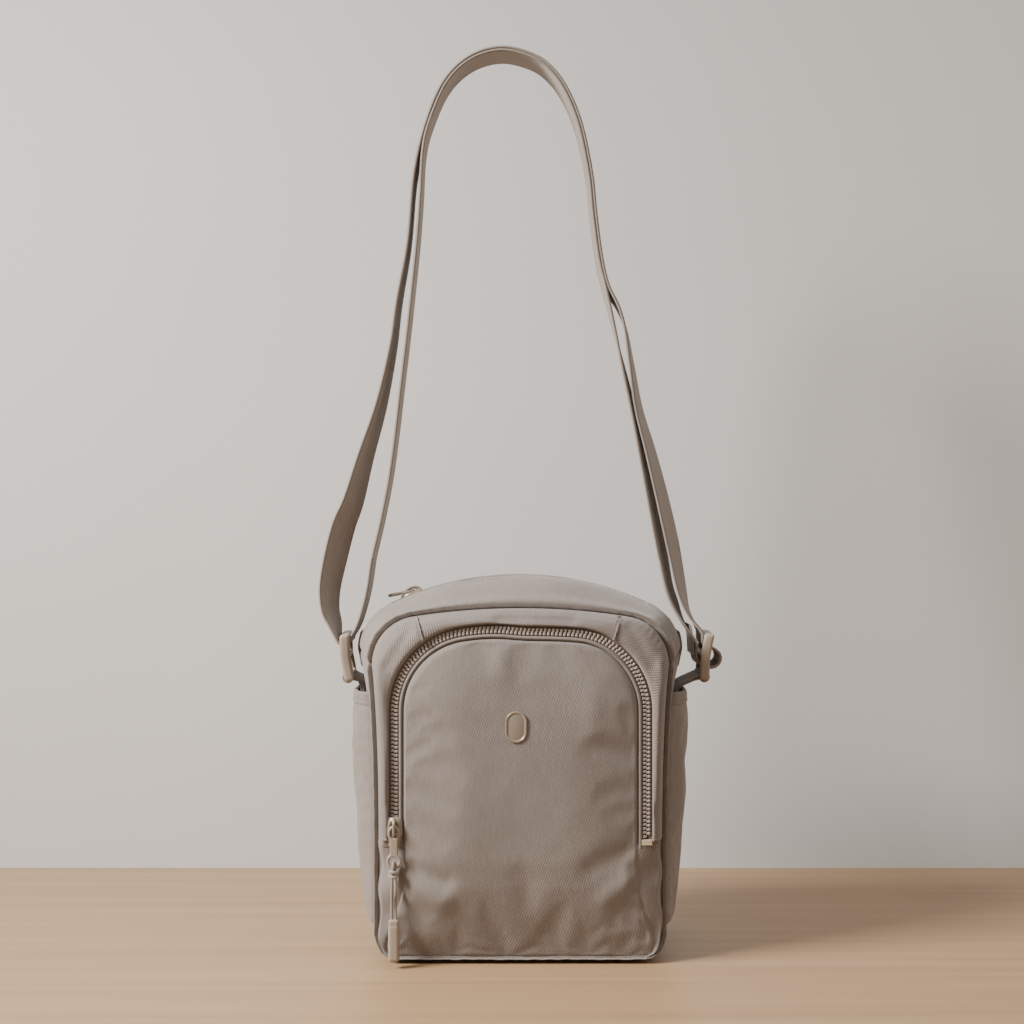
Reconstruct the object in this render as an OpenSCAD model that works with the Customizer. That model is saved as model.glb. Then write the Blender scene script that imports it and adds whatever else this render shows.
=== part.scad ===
// Small crossbody sling bag: an arched soft case with a front pocket, two side slip pockets
// and a long doubled webbing strap held by a three-bar buckle on each side.
// Millimetres, +Z up. The front faces -Y. The origin is the middle of the base, on the surface
// that the bag stands on.

/* [Bag] */
// Width across the side gussets at the shoulders
bag_w = 190; // [186:1:194]
// Width across the side gussets behind the side pockets
waist_w = 172; // [168:1:174]
// Height to the crest of the top gusset
bag_h = 220; // [218:1:222]
// Depth between the front and back seams
bag_d = 72; // [70:1:76]
// Width of the front face at its seams
face_w = 175; // [172:1:177]
// Height of the top seam of the front face
face_h = 205; // [203:1:206]
// Thickness of the padded fabric
shell_t = 2.4; // [2:0.1:2.6]

/* [Front pocket] */
// Width between the two straight stretches of the pocket zip
zip_w = 142.5; // [140:0.5:144]
// Height of the zip at its crown
zip_top = 191.5; // [189:0.5:192]
// Height at which the two ends of the zip stop
zip_end = 66; // [64:1:68]
// How far the pocket panel swells out at its middle
pocket_crown = 4.4; // [3:0.1:6]

/* [Side pockets] */
// Height of the hem of the side pockets
hem_z = 154; // [150:1:156]
// Width across both hems
hem_w = 195.2; // [194:0.2:197]

/* [Zips] */
// Length of a slider
slider_len = 14; // [12:1:15]
// Angle of each end of the main zip, from the crest
main_zip_a = 25; // [24:0.5:26]
// Angle at which the main slider rests
main_rest_a = 20.5; // [18:0.5:21]

/* [Strap] */
// Width of the webbing
web_w = 25; // [24:1:26]
// Thickness of the webbing
web_t = 1.6; // [1.4:0.1:1.8]
// Height of the line about which the strap swings
swing_z = 207; // [206:1:209]

/* [Hidden] */

fabric = "#8f8278";
fabric_dark = "#7d7168";
webbing = "#8c7d70";
plastic = "#8d7c6d";
metal = "#a08f7c";
inside = "#6f665e";

round_fn = 48;

// Outlines seen from the front: [bottom half width, top half width, base z, top z, base corner
// radius, shoulder radius, radius of the top arc].
mid_shape = [waist_w / 2, bag_w / 2, 0, bag_h, 18, 29, 185];
face_shape = [face_w / 2 - 4, face_w / 2, 3, face_h, 14, 30, 400];
waist_power = 4;
corner_steps = 5;
side_steps = 6;
shoulder_steps = 6;
top_steps = 8;
crest_half = 12;
seam_y = bag_d / 2;

// The zip line of the front pocket, and the edges of the cloth on both sides of it.
zip_y = -seam_y - 9;
zip_r = 45;
zip_top_r = 230;
chain_half = 3.2;
chain_gap = 0.6;
edge_off = 4.95;
tape_half = 7.2;
tape_t = 0.8;
arch_steps = 8;
lip_y = zip_y - 2.1;
cloth_t = 1.6;
wall_y = -seam_y - shell_t;

// The main zip lies on one arc about this axis.
arc_z = bag_h - mid_shape[6];
tape_r = mid_shape[6] - shell_t - 0.5;
main_tape_t = 0.2;
main_tape_half = 12;
main_half = 5.4;

// Buckles, turned about the bar that the tab holds.
bar_r = 1.75;
buckle_h = 25.5;
buckle_w = 33;
buckle_t = 3.6;
left_bar = [-101.5, 159.5];
right_bar = [108.5, 160];
buckle_tilt = 6.7;
tab_r = 3.25;
tab_t = 2.4;

// Front view of the strap: points chosen along its outer run, from left to right.
strap_keys = [[-117, swing_z], [-115, 234], [-97, 287], [-79, 347], [-68, 412], [-60, 472],
              [-43, 513], [-11, 531], [18, 520], [36, 488], [45, 436], [53, 391], [66, 350],
              [80, 294], [94, 240], [99, swing_z]];
// How far the inner run stands off the outer run at each height, on the left and the right.
gap_left = [[207, 23], [249, 24], [290, 18], [328, 11], [355, 8], [417, 5], [445, 3.5], [469, 0]];
gap_right = [[207, 7], [251, 11], [282, 9], [314, 7], [369, 4], [389, 0]];

// Sliders and pulls
slider_w = 9;
pull_drop = 18.5;
pull_half = 3.6;
pull_t = 1.2;
slot_w = 3.6;
slot_len = 6;
eye_r = 2.5;
eye_rim = 4.4;
main_pull_drop = 10.5;
main_pull_lean = 9;
pocket_slider_z = 78;
bar_y = -4;
bar_z = 1;
tip_top = 28;
tip_len = 24;

function mix(a, b, s) = a + (b - a) * s;
function arc(cx, cz, r, a0, a1, n) =
    [for (i = [0 : n]) let (a = mix(a0, a1, i / n)) [cx + r * cos(a), cz + r * sin(a)]];
function shoulder_z(s) = s[3] - s[6] + sqrt(pow(s[6] - s[5], 2) - pow(s[1] - s[5], 2));
function inset(s, t) = [s[0] - t, s[1] - t, s[2] + t, s[3] - t, s[4] - t, s[5] - t, s[6] - t];
function side_x(s, z) = let (z0 = s[2] + s[4], u = max(0, (z - z0) / (shoulder_z(s) - z0)))
    mix(s[0], s[1], pow(u, waist_power));
function mirrored(half) =
    concat(half, [for (i = [len(half) - 2 : -1 : 1]) [-half[i][0], half[i][1]]]);

// One outline as a closed loop, from the middle of the base up the right side.
function outline(s) = let (
    zs = shoulder_z(s),
    za = s[2] + s[4],
    at = atan2(zs - s[3] + s[6], s[1] - s[5]),
    side = [for (i = [1 : side_steps]) let (z = mix(za, zs, i / (side_steps + 1))) [side_x(s, z), z]],
    top = arc(0, s[3] - s[6], s[6], at, 90, top_steps))
    mirrored(concat([[0, s[2]]], arc(s[0] - s[4], za, s[4], -90, 0, corner_steps), side,
                    arc(s[1] - s[5], zs, s[5], 0, at, shoulder_steps),
                    [for (i = [1 : top_steps]) top[i]]));

mid_count = len(outline(mid_shape));
// Index of the point where the right shoulder starts; the left one mirrors it.
shoulder_i = 1 + corner_steps + 1 + side_steps;
function bulge(y) = let (a = max(0, abs(y) - crest_half) / (seam_y - crest_half)) 1 - a * a;
// The gusset's surface t below its outside, at outline point i and depth y.
function gusset_point(i, y, t) = let (
    f = outline(inset(face_shape, t))[i % mid_count],
    m = outline(inset(mid_shape, t))[i % mid_count],
    s = bulge(y))
    [mix(f[0], m[0], s), y, mix(f[1], m[1], s)];

// A closed skin between two grids of points; a is the side whose normal points outward.
module shell(a, b, wrap = false) {
    ni = len(a);
    nj = len(a[0]);
    n = ni * nj;
    last = wrap ? ni - 1 : ni - 2;
    function id(i, j) = (i % ni) * nj + j;
    ends = wrap ? [] : concat(
        [for (j = [0 : nj - 2]) [id(0, j), n + id(0, j), n + id(0, j + 1), id(0, j + 1)]],
        [for (j = [0 : nj - 2])
            [id(ni - 1, j), id(ni - 1, j + 1), n + id(ni - 1, j + 1), n + id(ni - 1, j)]]);
    polyhedron(concat([for (r = a) each r], [for (r = b) each r]), concat(
        [for (i = [0 : last], j = [0 : nj - 2])
            [id(i, j), id(i, j + 1), id(i + 1, j + 1), id(i + 1, j)]],
        [for (i = [0 : last], j = [0 : nj - 2])
            [n + id(i, j), n + id(i + 1, j), n + id(i + 1, j + 1), n + id(i, j + 1)]],
        [for (i = [0 : last]) [id(i, 0), id(i + 1, 0), n + id(i + 1, 0), n + id(i, 0)]],
        [for (i = [0 : last])
            [id(i, nj - 1), n + id(i, nj - 1), n + id(i + 1, nj - 1), id(i + 1, nj - 1)]],
        ends));
}

// A flat plate with the face outline inset by t, from y0 to y1.
module face_plate(t, y0, y1) {
    translate([0, y1, 0]) rotate([90, 0, 0]) linear_extrude(y1 - y0) polygon(outline(inset(face_shape, t)));
}

// A ring along the face outline between two insets, from y0 to y1.
module face_ring(t0, t1, y0, y1) {
    difference() {
        face_plate(t0, y0, y1);
        face_plate(t1, y0 - 1, y1 + 1);
    }
}

// Gusset strip over the outline points i0 to i1, between two depths.
module gusset_strip(i0, i1, ys) {
    outer = [for (i = [i0 : i1]) [for (y = ys) gusset_point(i, y, 0)]];
    inner = [for (i = [i0 : i1]) [for (y = ys) gusset_point(i, y, shell_t)]];
    shell(inner, outer);
}

function catmull(p, i, t) = let (
    a = p[max(i - 1, 0)], b = p[i], c = p[i + 1], d = p[min(i + 2, len(p) - 1)])
    0.5 * ((2 * b) + (c - a) * t + (2 * a - 5 * b + 4 * c - d) * t * t
           + (3 * b - 3 * c + d - a) * t * t * t);
function smooth(p, n) = concat(
    [for (i = [0 : len(p) - 2], k = [0 : n - 1]) catmull(p, i, k / n)], [p[len(p) - 1]]);
function unit(v) = v / norm(v);
function normal_at(p, i) = let (v = unit(p[min(i + 1, len(p) - 1)] - p[max(i - 1, 0)])) [v[1], -v[0]];
// A path pushed sideways by d, to the right of its direction.
function pushed(p, d) = [for (i = [0 : len(p) - 1]) p[i] + d * normal_at(p, i)];

// Webbing seen edge on along path p, thickness t, as a closed outline.
module web_section(p, t) {
    back = pushed(p, -t / 2);
    polygon(concat(pushed(p, t / 2), [for (i = [len(p) - 1 : -1 : 0]) back[i]]));
}
module across(w) {
    translate([0, w / 2, 0]) rotate([90, 0, 0]) linear_extrude(w) children();
}

// ---- shell of the bag ----
module top_gusset_front() {
    color(fabric) gusset_strip(shoulder_i, mid_count - shoulder_i,
                               [-seam_y, -30, -24, -18, -crest_half, -main_half]);
}
module top_gusset_rear() {
    color(fabric) gusset_strip(shoulder_i, mid_count - shoulder_i,
                               [main_half, crest_half, 18, 24, 30, seam_y]);
}
module lower_gusset() {
    start = mid_count - shoulder_i;
    color(fabric) gusset_strip(start, start + 2 * shoulder_i, [-seam_y, -30, -24, -18, -crest_half,
                                                               crest_half, 18, 24, 30, seam_y]);
}
module back_panel() {
    color(fabric) face_plate(0, seam_y, seam_y + shell_t);
}
module back_foam() {
    color(inside) face_plate(3.8, seam_y - 2.1, seam_y - 0.1);
}
module pocket_back_wall() {
    color(fabric_dark) face_plate(0, wall_y, -seam_y);
}
module front_foam() {
    color(inside) face_plate(3.8, -seam_y + 0.1, -seam_y + 2.1);
}
module front_seam_binding() {
    color(inside) face_ring(2.55, 3.55, -seam_y + 0.1, -seam_y + 6);
}
module back_seam_binding() {
    color(inside) face_ring(2.55, 3.55, seam_y - 6, seam_y - 0.1);
}
module lining() {
    lining_y = seam_y - 2.4;
    color(inside) difference() {
        face_plate(4.2, -lining_y, lining_y);
        face_plate(4.7, -lining_y + 0.5, lining_y - 0.5);
        translate([-70, -8, face_h - 25]) cube([140, 16, 30]);
    }
}
module inner_pocket() {
    color(inside) translate([-55, seam_y - 3.8, 40]) cube([110, 0.85, 80]);
}
module base_board() {
    color(inside) translate([-68, -30, 5.6]) cube([136, 60, 1.4]);
}

// ---- front pocket ----
// An open arch d outside the zip line, from its right end to its left end.
function arch_shape(d) = [zip_w / 2 + d, zip_w / 2 + d, 0, zip_top + d, 1, zip_r + d, zip_top_r + d];
function arch_path(s, z0) = let (
    zs = shoulder_z(s),
    at = atan2(zs - s[3] + s[6], s[1] - s[5]),
    top = arc(0, s[3] - s[6], s[6], at, 90, arch_steps),
    half = concat([for (i = [0 : 3]) let (z = mix(z0, zs, i / 4)) [side_x(s, z), z]],
                  arc(s[1] - s[5], zs, s[5], 0, at, arch_steps),
                  [for (i = [1 : arch_steps]) top[i]]))
    concat(half, [for (i = [len(half) - 2 : -1 : 0]) [-half[i][0], half[i][1]]]);

module front_border() {
    inner = arch_path(arch_shape(edge_off), zip_end + 0.2);
    outer = arch_path(inset(face_shape, 0.2), zip_end + 0.2);
    steps = [[0, lip_y], [0.3, lip_y + 0.05], [0.65, mix(lip_y, wall_y, 0.35)], [1, wall_y - cloth_t - 0.1]];
    function grid(back) = [for (i = [0 : len(inner) - 1]) [for (k = steps)
        let (p = mix(inner[i], outer[i], k[0])) [p[0], k[1] + back, p[1]]]];
    color(fabric) shell(grid(cloth_t), grid(0));
}

// Half width of the pocket panel at height z, and the depth of its edge and swell there.
panel_low = [[3.5, 70], [9, 77], [28, 72], [46, 66.6], [60, zip_w / 2 - edge_off]];
panel_edge_y = [[3.5, wall_y - 1.8], [9, wall_y - 2.6], [28, wall_y - 5.6], [46, lip_y + 0.6], [60, lip_y]];
panel_swell = [[3.5, 0], [20, 0.55], [60, 1], [130, 1], [175, 0.6], [186.2, 0]];
function panel_half(z) = let (s = arch_shape(-edge_off), zs = shoulder_z(s), zc = s[3] - s[6],
                              zt = zc + s[6] * (zs - zc) / (s[6] - s[5]))
    z < 60 ? lookup(z, panel_low) : z < zs ? s[1]
    : z < zt ? s[1] - s[5] + sqrt(s[5] * s[5] - pow(z - zs, 2)) : sqrt(s[6] * s[6] - pow(z - zc, 2));
panel_rows = concat([3.5, 9, 18, 28, 37, 46, 53], [for (z = [60 : 16 : 140]) z],
                    [for (a = [0 : 9 : 72]) shoulder_z(arch_shape(-edge_off)) + (zip_r - edge_off) * sin(a)],
                    [184.5, 186]);
function panel_y(x, z) = let (u = x / panel_half(z))
    lookup(z, panel_edge_y) - pocket_crown * lookup(z, panel_swell) * (1 - pow(u, 4));

module pocket_panel() {
    cols = [-1, -0.94, -0.8, -0.6, -0.3, 0, 0.3, 0.6, 0.8, 0.94, 1];
    function grid(back) = [for (z = panel_rows) [for (u = cols)
        let (x = u * panel_half(z)) [x, panel_y(x, z) + back, z]]];
    color(fabric) shell(grid(cloth_t), grid(0));
}

// The short cloth piece between the pocket panel's fold and the side seam, on the side s.
module pocket_side(s) {
    rows = [9, 18, 28, 37, 46, 55, zip_end - 0.2];
    function grid(back) = [for (z = rows) [for (u = [0, 0.5, 1]) let (
        x = mix(panel_half(z) + 0.2, min(side_x(face_shape, z), 83.5 - pow(max(0, 17 - z), 2) / 28) - 0.3, u))
        [s * x, mix(lookup(z, panel_edge_y), wall_y - cloth_t - 0.1, u) + back, z]]];
    if (s > 0) shell(grid(cloth_t), grid(0));
    else shell(grid(0), grid(cloth_t));
}
module pocket_side_left() {
    color(fabric) mirror([1, 0, 0]) pocket_side(1);
}
module pocket_side_right() {
    color(fabric) pocket_side(1);
}

// A band along the pocket zip, between two offsets from its line, t thick, dy behind the line.
module zip_band(d0, d1, t, z0, dy = 0) {
    a = arch_path(arch_shape(d0), z0);
    b = arch_path(arch_shape(d1), z0);
    function grid(y) = [for (i = [0 : len(a) - 1]) [[a[i][0], y, a[i][1]], [b[i][0], y, b[i][1]]]];
    shell(grid(zip_y + dy + t / 2), grid(zip_y + dy - t / 2));
}
module pocket_zip_tapes() {
    color(fabric_dark) {
        zip_band(chain_gap, tape_half, tape_t, zip_end);
        zip_band(-tape_half, -chain_gap, tape_t, zip_end);
    }
}
// Two rows of teeth, each a bead on both faces of its tape.
module pocket_zip_teeth() {
    color(plastic) for (dy = [-tape_t, tape_t]) {
        zip_band(chain_gap, chain_half, tape_t, zip_end + 6.7, dy);
        zip_band(-chain_half, -chain_gap, tape_t, zip_end + 6.7, dy);
    }
}
module pocket_zip_stops() {
    color(metal) for (s = [-1, 1]) translate([s * zip_w / 2 - 3.4, zip_y - 1.3, zip_end + 2.2])
        cube([6.8, 2.6, 2.2]);
}

// ---- main zip, on one arc ----
module arc_band(r0, r1, y0, y1, a) {
    translate([0, 0, arc_z]) rotate([-90, 0, 0]) rotate([0, 0, -90 - a])
        rotate_extrude(angle = 2 * a, $fn = 180) translate([r0, y0]) square([r1 - r0, y1 - y0]);
}
module main_zip_tapes() {
    color(fabric_dark) for (s = [0, 1]) mirror([0, s, 0])
        arc_band(tape_r, tape_r + main_tape_t, chain_gap, main_tape_half, main_zip_a);
}
module main_zip_teeth() {
    color(plastic) for (s = [0, 1]) mirror([0, s, 0]) {
        arc_band(tape_r + main_tape_t, tape_r + 1.4, chain_gap, chain_half, main_zip_a - 1);
        arc_band(tape_r - 0.95, tape_r, chain_gap, chain_half, main_zip_a - 1);
    }
}
module main_zip_stops() {
    color(metal) for (s = [-1, 1]) translate([0, 0, arc_z]) rotate([0, s * (main_zip_a - 0.5), 0])
        translate([-0.9, -3.4, tape_r + 0.5]) cube([1.4, 6.8, 1.5]);
}

// ---- side pockets and tabs ----
pocket_rows = [20, 40, 60, 80, 100, 120, 134, 146];
hem_rows = [146, 150, hem_z];
pocket_ys = [-33, -31, -28, -23, -15, -5, 5, 15, 23, 28, 31, 33];
pocket_out = [[20, 88.5], [60, 92], [110, 94.8], [hem_z, hem_w / 2]];
function gusset_x(y, z) = mix(side_x(face_shape, z), side_x(mid_shape, z), bulge(y));
function pocket_x(y, z, t) = let (edge = gusset_x(33, z) + 0.2 + t)
    mix(edge, lookup(z, pocket_out), 1 - pow(abs(y) / 33, 3));
module pocket_skin(rows, t) {
    function grid(back) = [for (z = rows) [for (y = pocket_ys) [pocket_x(y, z, t) - back, y, z]]];
    shell(grid(t), grid(0));
}
module side_pocket_right() {
    color(fabric) pocket_skin(pocket_rows, 1.5);
}
module side_pocket_left() {
    color(fabric) mirror([1, 0, 0]) pocket_skin(pocket_rows, 1.5);
}
module side_pocket_hem_right() {
    color(fabric_dark) pocket_skin(hem_rows, 2.2);
}
module side_pocket_hem_left() {
    color(fabric_dark) mirror([1, 0, 0]) pocket_skin(hem_rows, 2.2);
}

// A folded tab: a loop round the buckle's bar and a doubled leg sewn to the gusset.
module tab(bar, leg) {
    translate([bar[0], 0, bar[1]]) rotate([90, 0, 0]) difference() {
        cylinder(r = tab_r, h = web_w, center = true, $fn = round_fn);
        cylinder(r = bar_r + 0.3, h = web_w + 2, center = true, $fn = round_fn);
    }
    across(web_w) web_section(leg, tab_t);
}
module tab_left() {
    color(webbing) mirror([1, 0, 0]) tab([-left_bar[0], left_bar[1]],
        [[98.6, 159.3], [95.8, 158], [93.6, 154], [92.3, 148], [91.1, 140], [90.1, 132]]);
}
module tab_right() {
    color(webbing) tab(right_bar,
        [[105.6, 159.6], [100, 158.9], [94.4, 157], [92.3, 153.4], [91.6, 148], [90.8, 140], [90.1, 132]]);
}

// ---- badge: a plain lozenge with round ends ----
badge_at = [-2.5, 136.5];
badge_r = 6;
badge_y = panel_y(badge_at[0], badge_at[1]);
module pill(r, half, t) {
    for (s = [-1, 1]) translate([0, 0, s * half]) rotate([90, 0, 0]) cylinder(r = r, h = t, $fn = round_fn);
    translate([-r, -t, -half]) cube([2 * r, t, 2 * half]);
}
module badge() {
    color(metal) translate([badge_at[0], badge_y - 0.15, badge_at[1]]) {
        pill(badge_r, 2.75, 1.7);
        for (s = [-1, 1]) translate([0, 0, s * 4]) rotate([-90, 0, 0]) cylinder(r = 0.6, h = 3.2, $fn = round_fn);
    }
}
module badge_washer() {
    color(metal) translate([badge_at[0], badge_y + cloth_t + 1, badge_at[1]]) difference() {
        pill(4, 3.5, 0.7);
        for (s = [-1, 1]) translate([0, -2, s * 4]) rotate([-90, 0, 0]) cylinder(r = 0.65, h = 4, $fn = round_fn);
    }
}

// ---- buckles and the webbing that turns round them ----
module buckle() {
    rail = (buckle_w - 27) / 2;
    rotate([90, 0, 0]) {
        cylinder(r = bar_r, h = 28, center = true, $fn = round_fn);
        translate([0, buckle_h / 2]) cylinder(r = 1.6, h = 28, center = true, $fn = round_fn);
    }
    for (s = [0, 1]) mirror([0, s, 0]) {
        translate([-buckle_t / 2, 27 / 2, 0]) cube([buckle_t, rail, buckle_h - 2]);
        translate([-buckle_t / 2, 27 / 2, buckle_h - 2]) cube([buckle_t, rail - 2, 2]);
        translate([-buckle_t / 2, buckle_w / 2 - 2, buckle_h - 2]) rotate([0, 90, 0])
            cylinder(r = 2, h = buckle_t, $fn = round_fn);
        translate([-buckle_t / 2, 27 / 2 + rail / 2, 0]) rotate([0, 90, 0])
            cylinder(r = rail / 2, h = buckle_t, $fn = round_fn);
    }
    translate([-buckle_t / 2, -14, buckle_h - 3.2]) cube([buckle_t, 28, 3.2]);
}
module on_left() {
    translate([left_bar[0], 0, left_bar[1]]) rotate([0, -buckle_tilt, 0]) children();
}
module on_right() {
    translate([right_bar[0], 0, right_bar[1]]) rotate([0, buckle_tilt, 0]) children();
}
module buckle_left() {
    color(plastic) on_left() buckle();
}
module buckle_right() {
    color(plastic) on_right() buckle();
}
// Round the top bar: outer leg down, under the bar, inner leg up.
module strap_turn_left() {
    turn_z = buckle_h - 1.6;
    turn_r = 3.4;
    path = concat([[-5, 36.5], [-4, 31], [-turn_r, 27]], arc(0, turn_z, turn_r, 180, 360, 8),
                  [[3.8, 27], [6, 31], [9.5, 35.5]]);
    color(webbing) on_left() across(web_w) web_section(path, web_t);
}
// Through the upper slot, round the middle bar in a loose bight and back through the lower slot.
module strap_turn_right() {
    path = smooth([[-9, 32.3], [-6.5, 29.5], [-4.4, 25], [-3.6, 20], [-1.5, 17.4], [2.5, 16.6],
                   [6.3, 14], [7, 10.2], [4.6, 7.2], [0, 6.5], [-4, 7.6], [-6.4, 12], [-7.2, 20],
                   [-9.5, 27], [-12.6, 30], [-15.6, 31.4]], 3);
    color(webbing) on_right() across(web_w - 0.4) web_section(path, 1.3);
}
// The sewn end of the webbing, flat on the inner leg at the right.
module strap_join() {
    color(webbing) on_right() across(web_w - 1) web_section([[-8.3, 10], [-9.1, 19], [-11, 26]], 1.1);
}

// ---- strap ----
strap_path = smooth(strap_keys, 3);
peak_x = -11;
function strap_gap(p) = lookup(p[1], p[0] < peak_x ? gap_left : gap_right);
inner_path = [for (i = [0 : len(strap_path) - 1]) let (p = strap_path[i])
    p + normal_at(strap_path, i) * (web_t + 0.04 + strap_gap(p))];
module strap_run(p) {
    a = pushed(p, web_t / 2);
    b = pushed(p, -web_t / 2);
    function grid(q) = [for (v = q) [[v[0], -web_w / 2, v[1]], [v[0], web_w / 2, v[1]]]];
    shell(grid(b), grid(a));
}
module strap_outer_run() {
    color(webbing) strap_run(strap_path);
}
module strap_inner_run() {
    color(webbing) strap_run(inner_path);
}
// Flat rows of stitching that hold the two runs together near the crown.
module strap_bartacks() {
    color(fabric_dark) for (i = [18, 25]) let (p = strap_path[i], n = normal_at(strap_path, i))
        translate([p[0] - n[0] * 1, 0, p[1] - n[1] * 1]) rotate([0, atan2(n[0], n[1]), 0])
            translate([-1, -10, -0.15]) cube([2, 20, 0.3]);
}

// ---- sliders and pulls: the zip runs along Z, the outside faces -Y ----
module slider_body() {
    for (s = [-1, 1]) {
        translate([-slider_w / 2, s > 0 ? 1.5 : -2.7, -slider_len / 2]) cube([slider_w, 1.2, slider_len]);
        for (m = [-1, 1]) translate([m > 0 ? 3.6 : -slider_w / 2, s > 0 ? 0.7 : -1.5, -slider_len / 2])
            cube([0.9, 0.8, slider_len]);
    }
    translate([-0.25, -1.5, -slider_len / 2]) cube([0.5, 3, 4]);
    difference() {
        translate([-1.2, -6, -3.4]) cube([2.4, 3.3, 9.2]);
        translate([-2, -5.1, -2.2]) cube([4, 2.4, 6.8]);
    }
}
module pull_plate(drop) {
    rotate([0, 90, 0]) cylinder(r = pull_t / 2, h = 2 * pull_half, center = true, $fn = round_fn);
    difference() {
        union() {
            translate([-pull_half, -pull_t / 2, -drop]) cube([2 * pull_half, pull_t, drop]);
            translate([0, pull_t / 2, -drop]) rotate([90, 0, 0]) cylinder(r = eye_rim, h = pull_t, $fn = round_fn);
        }
        translate([-slot_w / 2, -2, -slot_len]) cube([slot_w, 4, slot_len + 0.1]);
        translate([0, 2, -drop]) rotate([90, 0, 0]) cylinder(r = eye_r, h = 4, $fn = round_fn);
    }
}
module at_pocket_slider() {
    translate([-zip_w / 2, zip_y, pocket_slider_z]) children();
}
module pocket_slider() {
    color(metal) at_pocket_slider() slider_body();
}
module pocket_pull() {
    color(plastic) at_pocket_slider() translate([0, bar_y, bar_z]) pull_plate(pull_drop);
}
module at_main_slider() {
    translate([0, 0, arc_z]) rotate([0, -main_rest_a, 0]) translate([0, 0, tape_r + 0.22])
        rotate([0, 90, 0]) rotate([0, 0, -90]) children();
}
module main_slider() {
    color(metal) at_main_slider() slider_body();
}
module main_pull() {
    color(plastic) at_main_slider() translate([0, bar_y, bar_z]) rotate([-main_pull_lean, 0, 0]) pull_plate(main_pull_drop);
}

// The pull's cord: up from the tip, through the eye and down again. Round points, by hand.
cord_r = 0.8;
cord_x = -zip_w / 2;
cord_y = zip_y + bar_y;
eye_z = pocket_slider_z + bar_z - pull_drop - 3.45;
cord_route = [[cord_x - 1.1, cord_y, tip_top], [cord_x - 1.1, cord_y - 0.6, 35],
              [cord_x - 1, cord_y - 1.6, 44], [cord_x - 0.7, cord_y - 2.3, 51],
              [cord_x - 0.4, cord_y - 2.6, eye_z], [cord_x - 0.3, cord_y - 1.8, eye_z + 1.9],
              [cord_x, cord_y, eye_z + 2.6], [cord_x + 0.3, cord_y + 1.6, eye_z + 1.9],
              [cord_x + 0.4, cord_y + 1.95, eye_z], [cord_x + 0.7, cord_y + 1.5, 51],
              [cord_x + 1, cord_y + 0.9, 44], [cord_x + 1.1, cord_y + 0.2, 35],
              [cord_x + 1.1, cord_y, tip_top]];
function cord_dir(p, i) = unit(p[min(i + 1, len(p) - 1)] - p[max(i - 1, 0)]);
module tube(p, r, sides) {
    rings = [for (i = [0 : len(p) - 1]) let (
        d = i == 0 ? [0, 0, 1] : i == len(p) - 1 ? [0, 0, -1] : cord_dir(p, i), u = [1, 0, 0] - d * d[0],
        a = unit(u), b = cross(d, a))
        [for (k = [0 : sides - 1]) p[i] + r * (cos(360 * k / sides) * a + sin(360 * k / sides) * b)]];
    n = len(p);
    polyhedron([for (ring = rings) each ring], concat(
        [[for (k = [0 : sides - 1]) k]],
        [[for (k = [sides - 1 : -1 : 0]) (n - 1) * sides + k]],
        [for (i = [0 : n - 2], k = [0 : sides - 1])
            [i * sides + k, (i + 1) * sides + k, (i + 1) * sides + (k + 1) % sides,
             i * sides + (k + 1) % sides]]));
}
module pocket_pull_cord() {
    color(webbing) tube(cord_route, cord_r, 8);
}
module pocket_pull_tip() {
    color(plastic) translate([cord_x, cord_y, tip_top - tip_len]) {
        for (s = [-1, 1]) translate([s, 0, 0]) cylinder(r = 2.2, h = tip_len, $fn = round_fn);
        translate([-1, -2.2, 0]) cube([2, 4.4, tip_len]);
    }
}

top_gusset_front();
top_gusset_rear();
lower_gusset();
back_panel();
back_foam();
pocket_back_wall();
front_foam();
front_border();
pocket_panel();
pocket_side_left();
pocket_side_right();
front_seam_binding();
back_seam_binding();
lining();
inner_pocket();
base_board();
pocket_zip_tapes();
pocket_zip_teeth();
pocket_zip_stops();
main_zip_tapes();
main_zip_teeth();
main_zip_stops();
side_pocket_left();
side_pocket_right();
side_pocket_hem_left();
side_pocket_hem_right();
tab_left();
tab_right();
badge();
badge_washer();
buckle_left();
buckle_right();
strap_turn_left();
strap_turn_right();
strap_join();
strap_outer_run();
strap_inner_run();
strap_bartacks();
pocket_slider();
pocket_pull();
pocket_pull_cord();
pocket_pull_tip();
main_slider();
main_pull();
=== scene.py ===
"""Studio scene of a small crossbody sling bag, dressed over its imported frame."""
import logging
import math
from dataclasses import dataclass
from enum import Enum
from typing import Callable, Sequence

import bpy
import numpy as np
from mathutils import Matrix, Vector, noise


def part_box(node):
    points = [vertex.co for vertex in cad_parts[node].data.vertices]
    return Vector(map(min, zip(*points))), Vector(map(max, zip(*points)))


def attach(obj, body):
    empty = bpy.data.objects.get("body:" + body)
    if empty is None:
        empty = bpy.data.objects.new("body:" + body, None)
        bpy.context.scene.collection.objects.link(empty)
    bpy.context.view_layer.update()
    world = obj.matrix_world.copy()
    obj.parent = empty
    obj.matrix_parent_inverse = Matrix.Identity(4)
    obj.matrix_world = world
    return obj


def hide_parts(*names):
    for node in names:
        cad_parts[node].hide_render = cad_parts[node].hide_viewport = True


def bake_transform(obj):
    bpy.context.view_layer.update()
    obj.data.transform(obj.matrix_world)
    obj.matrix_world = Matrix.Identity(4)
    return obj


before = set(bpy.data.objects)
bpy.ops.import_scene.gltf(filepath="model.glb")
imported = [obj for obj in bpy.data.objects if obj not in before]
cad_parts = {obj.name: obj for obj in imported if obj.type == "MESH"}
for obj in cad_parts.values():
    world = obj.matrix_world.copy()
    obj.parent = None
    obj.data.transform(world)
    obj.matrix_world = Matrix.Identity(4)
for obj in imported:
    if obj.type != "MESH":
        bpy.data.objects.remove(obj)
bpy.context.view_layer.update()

LOG = logging.getLogger("sling_bag")
MM = 0.001
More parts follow.
